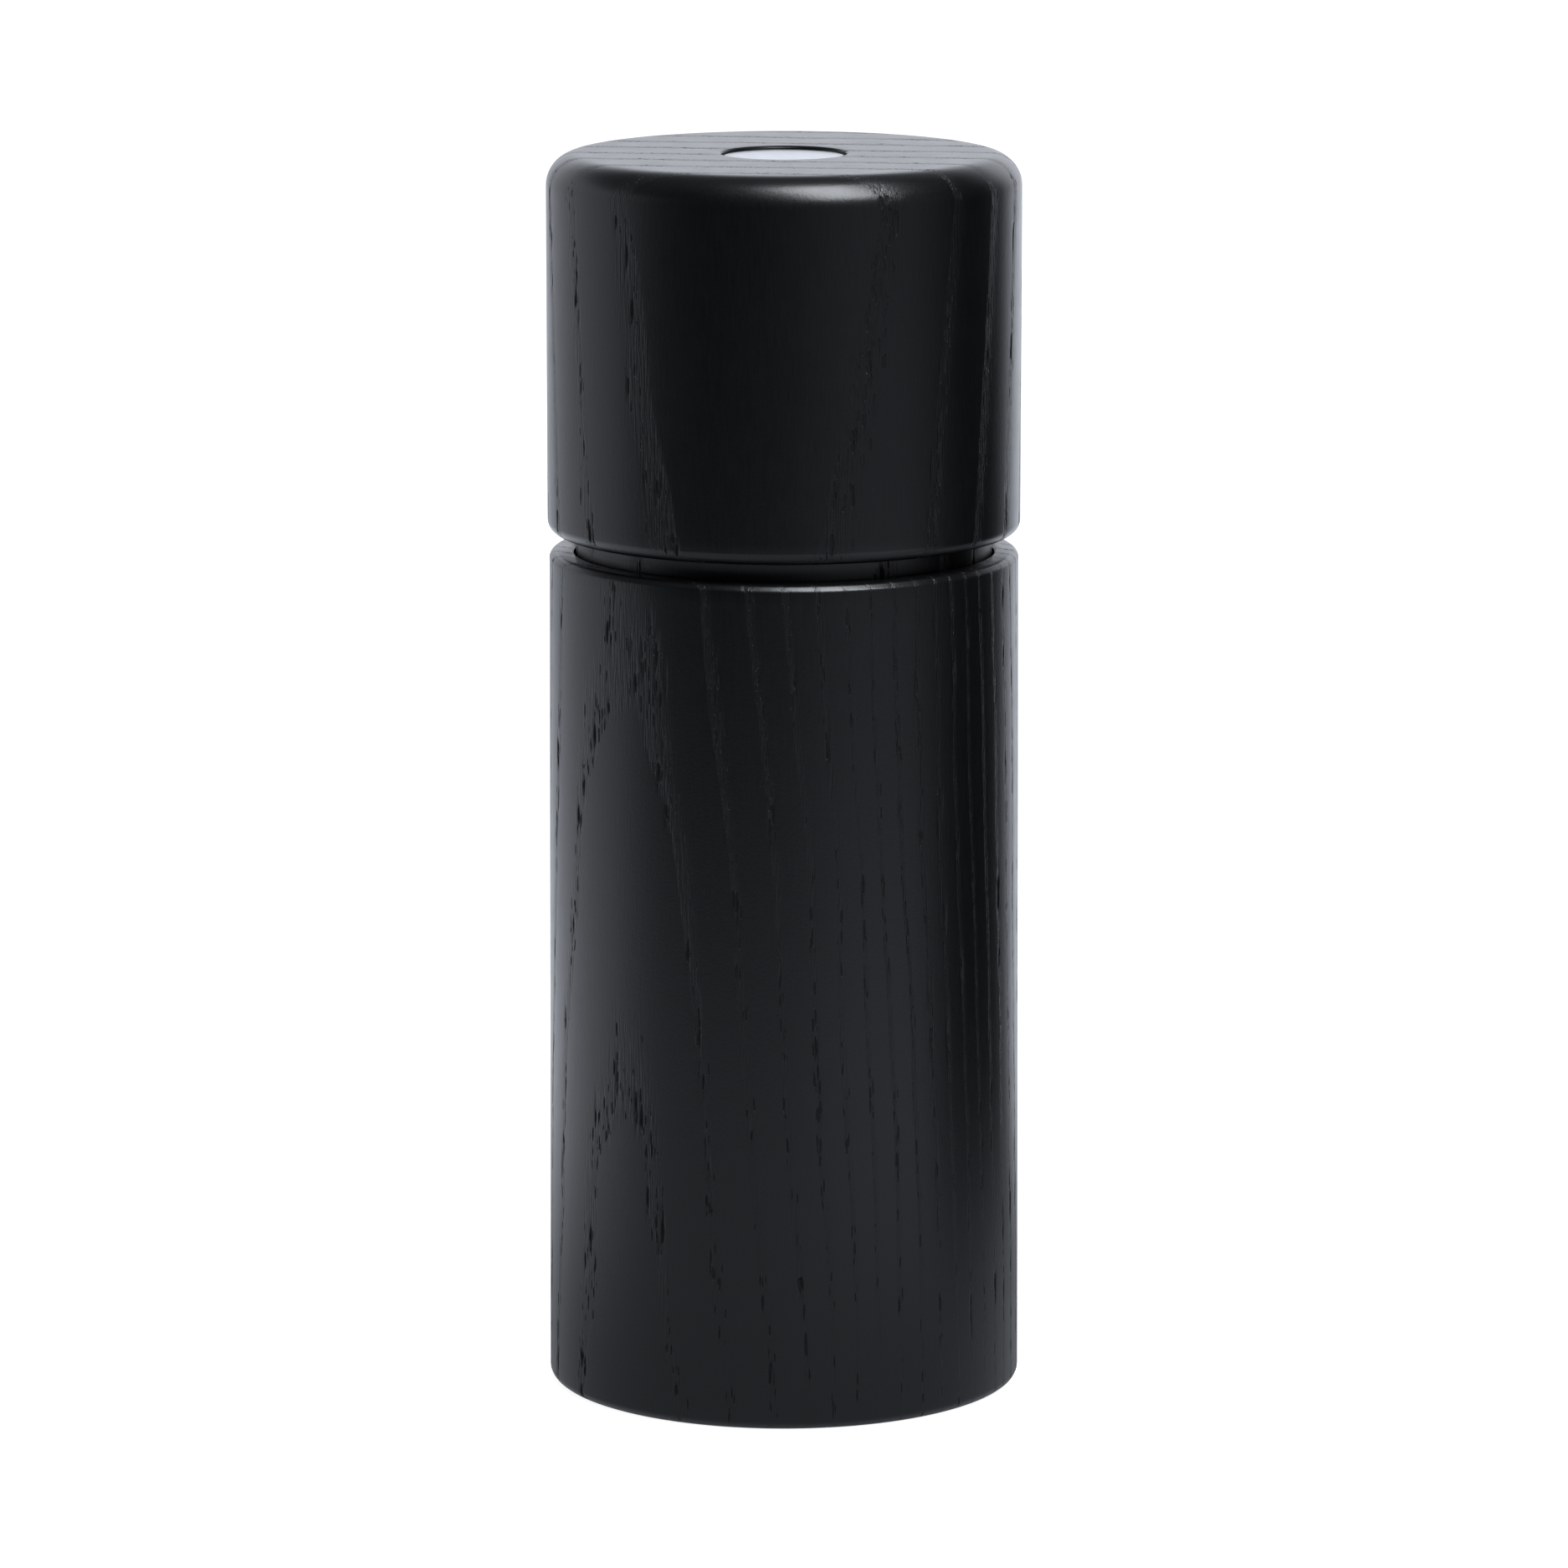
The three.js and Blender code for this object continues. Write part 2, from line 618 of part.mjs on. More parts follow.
function statorRing() {
  const depth = (share) => RING_TOOTH_DEPTH * THREE.MathUtils.lerp(0.6, 1, share);
  const past = 0.5; // the plug runs this far past both faces of the ring
  const throat = toothedPlug(
    statorBottom - past, statorTop + past, 3, RING_TEETH, ringRadius, depth, -TOOTH_TWIST,
  );
  return cut(bar(statorRadius, statorBottom, statorTop, FINE), throat);
}

// ---------------------------------------------------------------- plastic mechanism
function mechanismHousing() {
  const blank = turned(
    [
      [hubBore, hubBottom],
      [hubRadius, hubBottom],
      [hubRadius, barrelTop - SPIDER_HEIGHT],
      [barrelBore, barrelTop - SPIDER_HEIGHT],
      [barrelBore, stepTop + STEP_WIDTH],
      [stepRadius, stepTop],
      [stepRadius, stepBottom],
      [barrelBore, stepBottom],
      [barrelBore, flangeBottom],
      [flangeRadius, flangeBottom],
      [flangeRadius, flangeTop],
      [barrelRadius, flangeTop],
      [barrelRadius, barrelTop],
      [hubBore, barrelTop],
    ],
    FINE,
  );
  const webTop = barrelTop + 1;
  const webBottom = barrelTop - SPIDER_HEIGHT - 1;
  const openings = cut(
    ring(hubRadius, barrelBore, webBottom, webTop, MEDIUM),
    ...roundCircle(
      box(barrelRadius, SPIDER_ARM_WIDTH, 2 * SPIDER_HEIGHT + 4, 0, 0, (webTop + webBottom) / 2),
      barrelRadius / 2,
      3,
      Math.PI / 3,
    ),
  );
  const hole = screwHole().translate(0, 0, flangeBottom);
  return cut(blank, openings, ...roundCircle(hole, housingScrewCircle, SCREWS));
}

function statorRetainer() {
  const outer = barrelBore - PRESS_GAP;
  const inner = stepRadius;
  const blank = ring(inner, outer, retainerBottom, retainerBottom + RETAINER_HEIGHT, MEDIUM);
  const notchDepth = 1.2;
  const notch = box(2 * STEP_WIDTH, 3, 2 * notchDepth, 0, 0, retainerBottom);
  return cut(blank, ...roundCircle(notch, outer, 3));
}

function clickWasher() {
  return ring(
    stemRadius + RUNNING_FIT, carrierFlangeRadius, clickWasherBottom, clickWasherTop, MEDIUM,
  );
}

function adjusterKnob() {
  const bore = stemRadius + RUNNING_FIT;
  const web = knobTop - KNOB_WEB;
  const skirt = knobRadius - KNOB_FLUTE_DEPTH - KNOB_SKIRT_WALL;
  const edge = 0.8;
  return turned(
    [
      [bore, knobBossBottom],
      [knobBossRadius, knobBossBottom],
      [knobBossRadius, web],
      [skirt, web],
      [skirt, KNOB_BASE],
      [knobRadius - edge, KNOB_BASE],
      [knobRadius, KNOB_BASE + edge],
      [knobRadius, knobTop - edge],
      [knobRadius - edge, knobTop],
      [bore, knobTop],
    ],
    KNOB_FLUTES * 4,
    (r, z, a) => {
      if (r < knobRadius - edge - 1e-3) return r;
      return r - KNOB_FLUTE_DEPTH * (0.5 - 0.5 * Math.cos(KNOB_FLUTES * a));
    },
  );
}

// ---------------------------------------------------------------- assembly
const mill = new THREE.Group();

function add(name, geometry, material, turn = 0, radius = 0, height = 0) {
  const mesh = new THREE.Mesh(geometry, material);
  mesh.name = name;
  mesh.position.set(radius * Math.cos(turn), radius * Math.sin(turn), height);
  mesh.rotation.z = turn;
  mill.add(mesh);
  return mesh;
}

function addScrews(name, circle, height, start) {
  const geometry = woodScrew();
  for (let i = 0; i < SCREWS; i++) {
    add(`${name}_${i + 1}`, geometry, springSteel, start + (i * 2 * Math.PI) / SCREWS, circle, height);
  }
}

add("body_shell", bodyShell(), blackAsh);
add("mechanism_housing", mechanismHousing(), blackPlastic);
add("stator_ring", statorRing(), whiteCeramic);
add("stator_retainer", statorRetainer(), greyPlastic);
addScrews("housing_screw", housingScrewCircle, flangeBottom, 0);

add("drive_shaft", driveShaft(), aluminium);
add("shaft_sleeve", shaftSleeve(), greyPlastic);
add("sleeve_clip", snapClip(shaftHalf - CLIP_GROOVE_DEPTH, sleeveFlangeTop + SEAT_GAP), springSteel);
add("spring_washer", springWasher(), springSteel);
add("rotor_spring", rotorSpring(), springSteel);
add("stem_clip", snapClip(stemRadius - CLIP_GROOVE_DEPTH, stemClipBottom), springSteel);

add("rotor_carrier", rotorCarrier(), greyPlastic);
add("rotor_cone", rotorCone(), whiteCeramic);
add("click_washer", clickWasher(), springSteel);
add("adjuster_knob", adjusterKnob(), blackPlastic);

add("head_shell", headShell(), blackAsh);
add("top_disc", topDisc(), spunSteel);
add("disc_adhesive", discAdhesive(), adhesive);
add("drive_socket", driveSocket(), blackPlastic);
add("collet_ring", colletRing(), springSteel);
addScrews("socket_screw", socketScrewCircle, spigotBottom, Math.PI);

export default mill;
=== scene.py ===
# %% [markdown]
# # A black ash pepper mill
#
# The mill is a plain cylinder of ash, turned on a lathe, stained black and oiled. Its head is a second
# turned block, whose spigot drops into the body and shows as a dark neck in the groove between them.
# A bright metal disc is let into the top. Inside are the parts that grind: a square shaft, a ceramic cone
# in a ceramic ring, a plastic housing, and a fluted knob under the base that sets how fine it grinds.
#
# The solids and joints come from the imported model. This lesson gives each piece its finished surface.
# It starts by loading that model.

# %% Load the imported model
import json
import math

import bpy
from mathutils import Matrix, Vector


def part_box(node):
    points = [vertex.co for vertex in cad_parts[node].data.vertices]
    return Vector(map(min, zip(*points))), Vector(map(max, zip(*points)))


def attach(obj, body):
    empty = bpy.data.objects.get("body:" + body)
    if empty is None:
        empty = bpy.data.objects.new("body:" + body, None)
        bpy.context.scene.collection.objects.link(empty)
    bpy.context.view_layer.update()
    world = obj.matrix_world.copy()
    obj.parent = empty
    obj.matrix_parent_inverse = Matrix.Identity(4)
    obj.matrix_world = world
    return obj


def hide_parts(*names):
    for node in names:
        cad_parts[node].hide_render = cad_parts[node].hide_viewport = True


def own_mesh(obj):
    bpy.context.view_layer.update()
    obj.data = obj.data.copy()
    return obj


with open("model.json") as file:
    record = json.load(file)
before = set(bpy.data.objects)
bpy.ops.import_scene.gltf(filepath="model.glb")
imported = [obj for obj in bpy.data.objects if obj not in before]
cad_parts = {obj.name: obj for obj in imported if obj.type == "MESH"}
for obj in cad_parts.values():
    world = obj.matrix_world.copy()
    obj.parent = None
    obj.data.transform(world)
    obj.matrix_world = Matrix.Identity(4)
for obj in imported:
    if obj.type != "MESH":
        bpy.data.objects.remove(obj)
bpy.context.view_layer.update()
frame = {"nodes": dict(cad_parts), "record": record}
MM = 0.001

# %% [markdown]
# ## The camera
#
# A product like this is usually shot with a long lens, so that its sides stay nearly parallel. This one
# stands a metre away and looks down by about eleven degrees, which shows the top as a thin ellipse. The plain
# view transform keeps white paper white and black wood black, as a catalogue picture does.

# %% The camera
CAMERA_PLACE = (0, -0.9902, 0.2644)
CAMERA_PITCH = math.radians(10.71)
LENS_MM = 181.1

camera_data = bpy.data.cameras.new("long_lens")
camera_data.lens = LENS_MM
camera_data.sensor_width = 36
camera = bpy.data.objects.new("camera", camera_data)
camera.location = CAMERA_PLACE
camera.rotation_euler = (math.pi / 2 - CAMERA_PITCH, 0, 0)
bpy.context.scene.collection.objects.link(camera)
bpy.context.scene.camera = camera
bpy.context.scene.view_settings.view_transform = "Standard"
print("camera looks down by", round(math.degrees(CAMERA_PITCH), 1), "degrees")

# %% [markdown]
# ## Small helpers for node trees
#
# Node trees can be wired by hand in the editor. In a script it pays to have one short helper that makes a
# node, sets it up and wires its inputs, because the same helper then serves materials and geometry.

# %% Helpers for node trees
def put(tree, kind, inputs=None, **settings):
    """Makes a node, and gives each named or numbered input a value or a link."""
    node = tree.nodes.new(kind)
    for key, value in settings.items():
        setattr(node, key, value)
    for key, value in (inputs or {}).items():
        if isinstance(value, bpy.types.NodeSocket):
            tree.links.new(value, node.inputs[key])
        else:
            node.inputs[key].default_value = value
    return node


def calc(tree, operation, *values):
    """One step of arithmetic. Gives back the socket with the answer."""
    return put(tree, "ShaderNodeMath", dict(enumerate(values)), operation=operation).outputs[0]


def vector_calc(tree, operation, *values, output=0):
    inputs = dict(enumerate(values))
    return put(tree, "ShaderNodeVectorMath", inputs, operation=operation).outputs[output]


def fade(tree, value, start, end, low=0.0, high=1.0):
    """Goes smoothly from low to high while value goes from start to end."""
    inputs = {"Value": value, "From Min": start, "From Max": end, "To Min": low, "To Max": high}
    return put(tree, "ShaderNodeMapRange", inputs, interpolation_type="SMOOTHSTEP").outputs["Result"]


def new_group(kind, name, inputs, outputs):
    """A node group with named sockets. Each socket is (name, type) or (name, type, default)."""
    tree = bpy.data.node_groups.new(name, kind)
    for way, sockets in (("INPUT", inputs), ("OUTPUT", outputs)):
        for socket_name, socket_type, *default in sockets:
            socket = tree.interface.new_socket(
                socket_name, in_out=way, socket_type="NodeSocket" + socket_type
            )
            if default:
                socket.default_value = default[0]
    return tree, tree.nodes.new("NodeGroupInput").outputs, tree.nodes.new("NodeGroupOutput").inputs


# %% [markdown]
# ## How ash grows
#
# Ash is ring-porous. Each spring the tree makes a narrow band of wide open vessels, and after it a wide
# band of dense wood. The stain closes nothing, so the vessels show as short slits along the grain. Where
# the turned surface cuts the rings square on they line up in rows, and where it grazes a ring they open
# out into an arch.
#
# A painted picture of grain would only suit one side. Here the rings are worked out in three dimensions
# instead, as flat sheets that lean a little, so arches and rows come out by themselves wherever the lathe
# cuts. The same steps are built twice: as a shader group for the finish, and as a geometry group that
# carves the larger vessels.

# %% The grain of ash, for finishes and for shapes
GRAIN_INPUTS = [
    ("Position", "Vector"),
    ("Ring direction", "Vector", (0, -1, 0)),
    ("Ring lean", "Float", 0.0),
    ("Ring offset mm", "Float", 0.0),
    ("Ring spacing mm", "Float", 3.0),
]
GRAIN_OUTPUTS = [("Early wood", "Float"), ("Vessel", "Float"), ("Fine vessel", "Float"), ("Fibre", "Float")]


def vessels(tree, place, early, width_mm, length_mm, fullness):
    """Long thin cells along Z. The more early wood there is, the more of the cells are open vessels."""
    size = (1 / width_mm, 1 / width_mm, 1 / length_mm)
    cells = put(
        tree, "ShaderNodeTexVoronoi",
        {"Vector": vector_calc(tree, "MULTIPLY", place, size), "Scale": 1.0, "Randomness": 1.0},
    )
    chance = put(tree, "ShaderNodeSeparateXYZ", {0: cells.outputs["Color"]}).outputs
    limit = calc(tree, "MULTIPLY", early, fullness)
    is_open = fade(tree, chance[0], limit, calc(tree, "SUBTRACT", limit, 0.1))
    reach = calc(tree, "MULTIPLY", is_open, calc(tree, "MULTIPLY_ADD", chance[1], 0.2, 0.24))
    inner = calc(tree, "SUBTRACT", reach, 0.12)
    return calc(tree, "MULTIPLY", fade(tree, cells.outputs["Distance"], reach, inner), is_open)


def grain_group(kind, name):
    tree, given, result = new_group(kind, name, GRAIN_INPUTS, GRAIN_OUTPUTS)
    mm = vector_calc(tree, "MULTIPLY", given["Position"], (1000, 1000, 1000))
    waver_place = vector_calc(tree, "MULTIPLY", mm, (0.06, 0.06, 0.022))
    waver = put(tree, "ShaderNodeTexNoise", {"Vector": waver_place, "Scale": 1.0, "Detail": 2.0})
    waver = calc(tree, "MULTIPLY_ADD", waver.outputs[0], 2.4, -1.2)
    across = vector_calc(tree, "DOT_PRODUCT", mm, given["Ring direction"], output="Value")
    height = put(tree, "ShaderNodeSeparateXYZ", {0: mm}).outputs[2]
    along = calc(tree, "MULTIPLY_ADD", height, given["Ring lean"], across)
    along = calc(tree, "ADD", calc(tree, "SUBTRACT", along, given["Ring offset mm"]), waver)
    year = calc(tree, "FRACT", calc(tree, "DIVIDE", along, given["Ring spacing mm"]))
    before_winter = calc(tree, "SUBTRACT", 1.0, year)
    summer = fade(tree, before_winter, 0.34, 0.06)
    early = calc(tree, "MULTIPLY", summer, fade(tree, before_winter, 0.0, 0.03))

    ragged_place = vector_calc(tree, "MULTIPLY", mm, (1.6, 1.6, 0.5))
    ragged = put(tree, "ShaderNodeTexNoise", {"Vector": ragged_place, "Scale": 1.0, "Detail": 3.0})
    ragged = vector_calc(tree, "MULTIPLY", ragged.outputs[1], (0.35, 0.35, 0.8))
    place = vector_calc(tree, "ADD", mm, ragged)
    patchy_place = vector_calc(tree, "MULTIPLY", mm, (0.16, 0.16, 0.09))
    patchy = put(tree, "ShaderNodeTexNoise", {"Vector": patchy_place, "Scale": 1.0, "Detail": 1.0})
    early_here = calc(tree, "MULTIPLY", early, fade(tree, patchy.outputs[0], 0.36, 0.58, 0.25, 1.0))
    fibre_place = vector_calc(tree, "MULTIPLY", mm, (5.0, 5.0, 0.3))
    fibre = put(tree, "ShaderNodeTexNoise", {"Vector": fibre_place, "Scale": 1.0, "Detail": 2.0})

    large = vessels(tree, place, early_here, width_mm=0.66, length_mm=4.4, fullness=0.806)
    fine = vessels(tree, place, early_here, width_mm=0.36, length_mm=2.8, fullness=1.04)
    tree.links.new(early, result["Early wood"])
    tree.links.new(large, result["Vessel"])
    tree.links.new(fine, result["Fine vessel"])
    tree.links.new(fibre.outputs[0], result["Fibre"])
    return tree


def side_grain(tree, normal):
    """1 where the surface runs along the grain, small on end grain, where a vessel is only a dot."""
    rise = calc(tree, "ABSOLUTE", put(tree, "ShaderNodeSeparateXYZ", {0: normal}).outputs[2])
    return fade(tree, rise, 0.05, 0.7, 1.0, 0.22)


grain_shading = grain_group("ShaderNodeTree", "Ash grain")
grain_shaping = grain_group("GeometryNodeTree", "Ash grain for carving")
print("grain group has", len(grain_shading.nodes), "nodes")

# %% [markdown]
# The body and the head were cut from two blanks. In the body the rings face a little to the left, so an
# arch stands on its left side and straight rows run down its right. In the head they face the front and
# lean the other way.

# %% The two blanks
def facing(degrees):
    turn = math.radians(degrees)
    return (math.sin(turn), -math.cos(turn), 0)


BODY_RINGS = {
    "Ring direction": facing(-43), "Ring lean": -0.04, "Ring offset mm": 26.04, "Ring spacing mm": 2.86,
}
HEAD_RINGS = {
    "Ring direction": facing(-8), "Ring lean": 0.078, "Ring offset mm": 37.5, "Ring spacing mm": 7.0,
}
for blank_name, rings in (("body", BODY_RINGS), ("head", HEAD_RINGS)):
    print(blank_name, "rings are", rings["Ring spacing mm"], "mm apart")

# %% [markdown]
# ## A fine skin
#
# Nothing here is as smooth as glass. An oil film dries with a very fine pebble, and plastic takes one from
# its mould. The skin is one group with a grain size, so every matt material can have its own.

# %% Fine skin
def skin_group():
    tree, given, result = new_group(
        "ShaderNodeTree", "Fine skin",
        [("Position", "Vector"), ("Grains per mm", "Float", 6.0)],
        [("Skin", "Float"), ("Cloud", "Float")],
    )
    mm = vector_calc(tree, "MULTIPLY", given["Position"], (1000, 1000, 1000))
    skin = put(
        tree, "ShaderNodeTexNoise", {"Vector": mm, "Scale": given["Grains per mm"], "Detail": 2.0}
    )
    cloud = put(tree, "ShaderNodeTexNoise", {"Vector": mm, "Scale": 0.35, "Detail": 2.0})
    tree.links.new(skin.outputs[0], result["Skin"])
    tree.links.new(cloud.outputs[0], result["Cloud"])
    return tree


fine_skin = skin_group()
print("skin group has", len(fine_skin.nodes), "nodes")

# %% [markdown]
# ## The black finish
#
# Black stain leaves the wood almost without colour, so what the eye reads is how it shines. The dense
# wood has a satin shine, and the vessels are dull inside and have a soft edge. The colour moves only a
# little from ring to ring. A bump gives the finest vessels and the fibre, which are too small to carve.

# %% The black ash material
def ash_material(name, rings):
    material = bpy.data.materials.new(name)
    material.use_nodes = True
    tree = material.node_tree
    shader = tree.nodes["Principled BSDF"]
    coordinates = tree.nodes.new("ShaderNodeTexCoord").outputs
    place = coordinates["Object"]
    grain = put(tree, "ShaderNodeGroup", node_tree=grain_shading)
    tree.links.new(place, grain.inputs["Position"])
    for key, value in rings.items():
        grain.inputs[key].default_value = value
    upright = side_grain(tree, coordinates["Normal"])
    open_pores = calc(tree, "MAXIMUM", grain.outputs["Vessel"], grain.outputs["Fine vessel"])
    open_pores = calc(tree, "MULTIPLY", open_pores, upright)
    skin = put(tree, "ShaderNodeGroup", {"Position": place, "Grains per mm": 2.6}, node_tree=fine_skin)
    stain = put(tree, "ShaderNodeMix", {"Factor": grain.outputs["Fibre"]}, data_type="RGBA")
    stain.inputs[6].default_value = (0.0022, 0.0024, 0.0027, 1)
    stain.inputs[7].default_value = (0.0044, 0.0048, 0.0055, 1)
    deep = put(tree, "ShaderNodeMix", {"Factor": open_pores, 6: stain.outputs[2]}, data_type="RGBA")
    deep.inputs[7].default_value = (0.0012, 0.0012, 0.0012, 1)
    tree.links.new(deep.outputs[2], shader.inputs["Base Color"])
    dull = calc(tree, "MULTIPLY_ADD", grain.outputs["Early wood"], 0.06, 0.23)
    dull = calc(tree, "MULTIPLY_ADD", grain.outputs["Fibre"], 0.08, dull)
    dull = calc(tree, "MULTIPLY_ADD", skin.outputs["Cloud"], 0.06, dull)
    dull = calc(tree, "MULTIPLY_ADD", open_pores, 0.7, dull)
    tree.links.new(dull, shader.inputs["Roughness"])
    height = calc(tree, "MULTIPLY_ADD", grain.outputs["Fine vessel"], -1.0, 1.0)
    height = calc(tree, "MULTIPLY_ADD", grain.outputs["Vessel"], -0.6, height)
    streaks = calc(tree, "SUBTRACT", grain.outputs["Fibre"], 0.5)
    streaks = calc(tree, "MULTIPLY", streaks, grain.outputs["Early wood"])
    height = calc(tree, "MULTIPLY_ADD", streaks, 0.6, height)
    height = calc(tree, "MULTIPLY_ADD", grain.outputs["Fibre"], 0.05, height)
    height = calc(tree, "MULTIPLY", height, upright)
    height = calc(tree, "MULTIPLY_ADD", skin.outputs["Skin"], 0.06, height)
    bump = put(tree, "ShaderNodeBump", {"Height": height, "Strength": 0.9, "Distance": 0.0002})
    tree.links.new(bump.outputs[0], shader.inputs["Normal"])
    shader.inputs["Specular IOR Level"].default_value = 0.5
    return material


body_ash = ash_material("black_ash_body", BODY_RINGS)
head_ash = ash_material("black_ash_head", HEAD_RINGS)
print("finishes:", body_ash.name, "and", head_ash.name)

# %% [markdown]
# ## Turning in geometry nodes
#
# A lathe makes a shape from one rule: an outline, carried round an axis. So the tree for it takes an
# outline, which is a plain list of points from the tool's first touch to its last, and wraps a grid round
# the axis so that each row of the grid sits on one point of the outline. Flutes are cut by pressing the
# outside in as the angle goes round. Many straight flutes make the knob. A single one that also turns as it
# climbs makes a screw's thread, so the same tree serves both. The grain group carves the vessels, less so
# in end grain. A modelled cylinder would look the same from far away, but its shine would not break up where
# the vessels open.

# %% The lathe, as a geometry tree
def lathe_tree():
    tree, given, result = new_group(
        "GeometryNodeTree", "Lathe",
        [
            ("Outline", "Geometry"), ("Around", "Int", 96), ("Outline points", "Int", 2),
            ("Flutes", "Float", 0.0), ("Flute depth", "Float", 0.0), ("Twist per metre", "Float", 0.0),
            ("Fluted beyond", "Float", 0.0), ("Fluted within", "Float", 1.0),
            ("Flute run-out", "Float", 0.0008), ("Carving depth", "Float", 0.0), ("Finish", "Material"),
            ("Ring direction", "Vector", (0, -1, 0)), ("Ring lean", "Float", 0.0),
            ("Ring offset mm", "Float", 0.0), ("Ring spacing mm", "Float", 3.0),
        ],
        [("Turned", "Geometry")],
    )
    columns = calc(tree, "ADD", given["Around"], 1.0)
    grid = put(
        tree, "GeometryNodeMeshGrid",
        {"Size X": 1.0, "Size Y": 1.0, "Vertices X": columns, "Vertices Y": given["Outline points"]},
    )
    spot = put(tree, "ShaderNodeSeparateXYZ", {0: tree.nodes.new("GeometryNodeInputPosition").outputs[0]})
    turn = calc(tree, "MULTIPLY", calc(tree, "ADD", spot.outputs[0], 0.5), 2 * math.pi)
    last = calc(tree, "SUBTRACT", given["Outline points"], 1.0)
    row = calc(tree, "ROUND", calc(tree, "MULTIPLY", calc(tree, "ADD", spot.outputs[1], 0.5), last))
    outline_point = put(
        tree, "GeometryNodeSampleIndex",
        {
            "Geometry": given["Outline"],
            "Value": tree.nodes.new("GeometryNodeInputPosition").outputs[0],
            "Index": row,
        },
        data_type="FLOAT_VECTOR",
    ).outputs["Value"]
    outline = put(tree, "ShaderNodeSeparateXYZ", {0: outline_point}).outputs
    twist = calc(tree, "MULTIPLY", outline[2], given["Twist per metre"])
    wave = calc(tree, "COSINE", calc(tree, "SUBTRACT", calc(tree, "MULTIPLY", turn, given["Flutes"]), twist))
    press = calc(tree, "MULTIPLY", calc(tree, "MULTIPLY_ADD", wave, -0.5, 0.5), given["Flute depth"])
    full = calc(tree, "ADD", given["Fluted beyond"], given["Flute run-out"])
    run_out = {"Value": outline[0], "From Min": given["Fluted beyond"], "From Max": full}
    outside = put(tree, "ShaderNodeMapRange", run_out).outputs["Result"]
    outside = calc(tree, "MULTIPLY", outside, calc(tree, "LESS_THAN", outline[0], given["Fluted within"]))
    radius = calc(tree, "SUBTRACT", outline[0], calc(tree, "MULTIPLY", press, outside))
    east = calc(tree, "MULTIPLY", radius, calc(tree, "COSINE", turn))
    north = calc(tree, "MULTIPLY", radius, calc(tree, "SINE", turn))
    wrapped = put(tree, "ShaderNodeCombineXYZ", {0: east, 1: north, 2: outline[2]}).outputs[0]
    turned = put(tree, "GeometryNodeSetPosition", {"Geometry": grid.outputs[0], "Position": wrapped})
    closed = put(tree, "GeometryNodeMergeByDistance", {"Geometry": turned.outputs[0], "Distance": 1e-6})

    grain = put(tree, "GeometryNodeGroup", node_tree=grain_shaping)
    tree.links.new(tree.nodes.new("GeometryNodeInputPosition").outputs[0], grain.inputs["Position"])
    for name in ("Ring direction", "Ring lean", "Ring offset mm", "Ring spacing mm"):
        tree.links.new(given[name], grain.inputs[name])
    normal = tree.nodes.new("GeometryNodeInputNormal").outputs[0]
    depth = calc(tree, "MULTIPLY", given["Carving depth"], grain.outputs["Vessel"])
    depth = calc(tree, "MULTIPLY", depth, side_grain(tree, normal))
    offset = put(
        tree, "ShaderNodeVectorMath", {0: normal, "Scale": calc(tree, "MULTIPLY", depth, -1.0)},
        operation="SCALE",
    )
    moved = {"Geometry": closed.outputs[0], "Offset": offset.outputs[0]}
    carved = put(tree, "GeometryNodeSetPosition", moved)
    smooth = put(tree, "GeometryNodeSetShadeSmooth", {"Geometry": carved.outputs[0]})
    real = put(tree, "GeometryNodeRealizeInstances", {"Geometry": smooth.outputs[0]})
    done = put(tree, "GeometryNodeSetMaterial", {"Geometry": real.outputs[0], "Material": given["Finish"]})
    tree.links.new(done.outputs[0], result["Turned"])
    return tree


lathe = lathe_tree()
print("lathe tree has", len(lathe.nodes), "nodes")

# %% [markdown]
# A modifier holds a tree's inputs under short identifiers, not under their names. The helper below looks
# each one up, lets Blender work the shape out, and keeps the result as a plain mesh.

# %% Running a geometry tree
def grow(name, tree, start_mesh, values):
    """Runs a geometry tree on a start mesh and gives back a plain object with the result."""
    maker = bpy.data.objects.new(name + "_maker", start_mesh)
    bpy.context.scene.collection.objects.link(maker)
    modifier = maker.modifiers.new("shape", "NODES")
    modifier.node_group = tree
    sockets = [s for s in tree.interface.items_tree if s.item_type == "SOCKET" and s.in_out == "INPUT"]
    for socket in sockets:
        if socket.name in values:
            modifier[socket.identifier] = values[socket.name]
    seen = maker.evaluated_get(bpy.context.evaluated_depsgraph_get())
    mesh = bpy.data.meshes.new_from_object(seen)
    mesh.name = name
    piece = bpy.data.objects.new(name, mesh)
    bpy.context.scene.collection.objects.link(piece)
    bpy.data.objects.remove(maker)
    return piece


def volume(mesh):
    mesh.calc_loop_triangles()
    spots = [v.co for v in mesh.vertices]
    return sum(
        spots[t.vertices[0]].dot(spots[t.vertices[1]].cross(spots[t.vertices[2]])) / 6
        for t in mesh.loop_triangles
    )


def turned(name, outline, around, finish, **values):
    """Turns an outline of (radius, height) points in mm, anticlockwise, and faces it outwards."""
    mesh = bpy.data.meshes.new(name + "_outline")
    mesh.from_pydata([(r * MM, 0, z * MM) for r, z in outline], [], [])
    inputs = {"Around": around, "Outline points": len(outline), "Finish": finish}
    piece = grow(name, lathe, mesh, {**inputs, **values})
    if volume(piece.data) < 0:
        piece.data.flip_normals()
    print(name, len(piece.data.polygons), "faces,", round(volume(piece.data) * 1e6, 2), "cm3")
    return piece


# %% [markdown]
# An outline is easier to write as corners than as points. The helper walks from corner to corner and puts
# points close together where a corner is rounded or where vessels are carved.

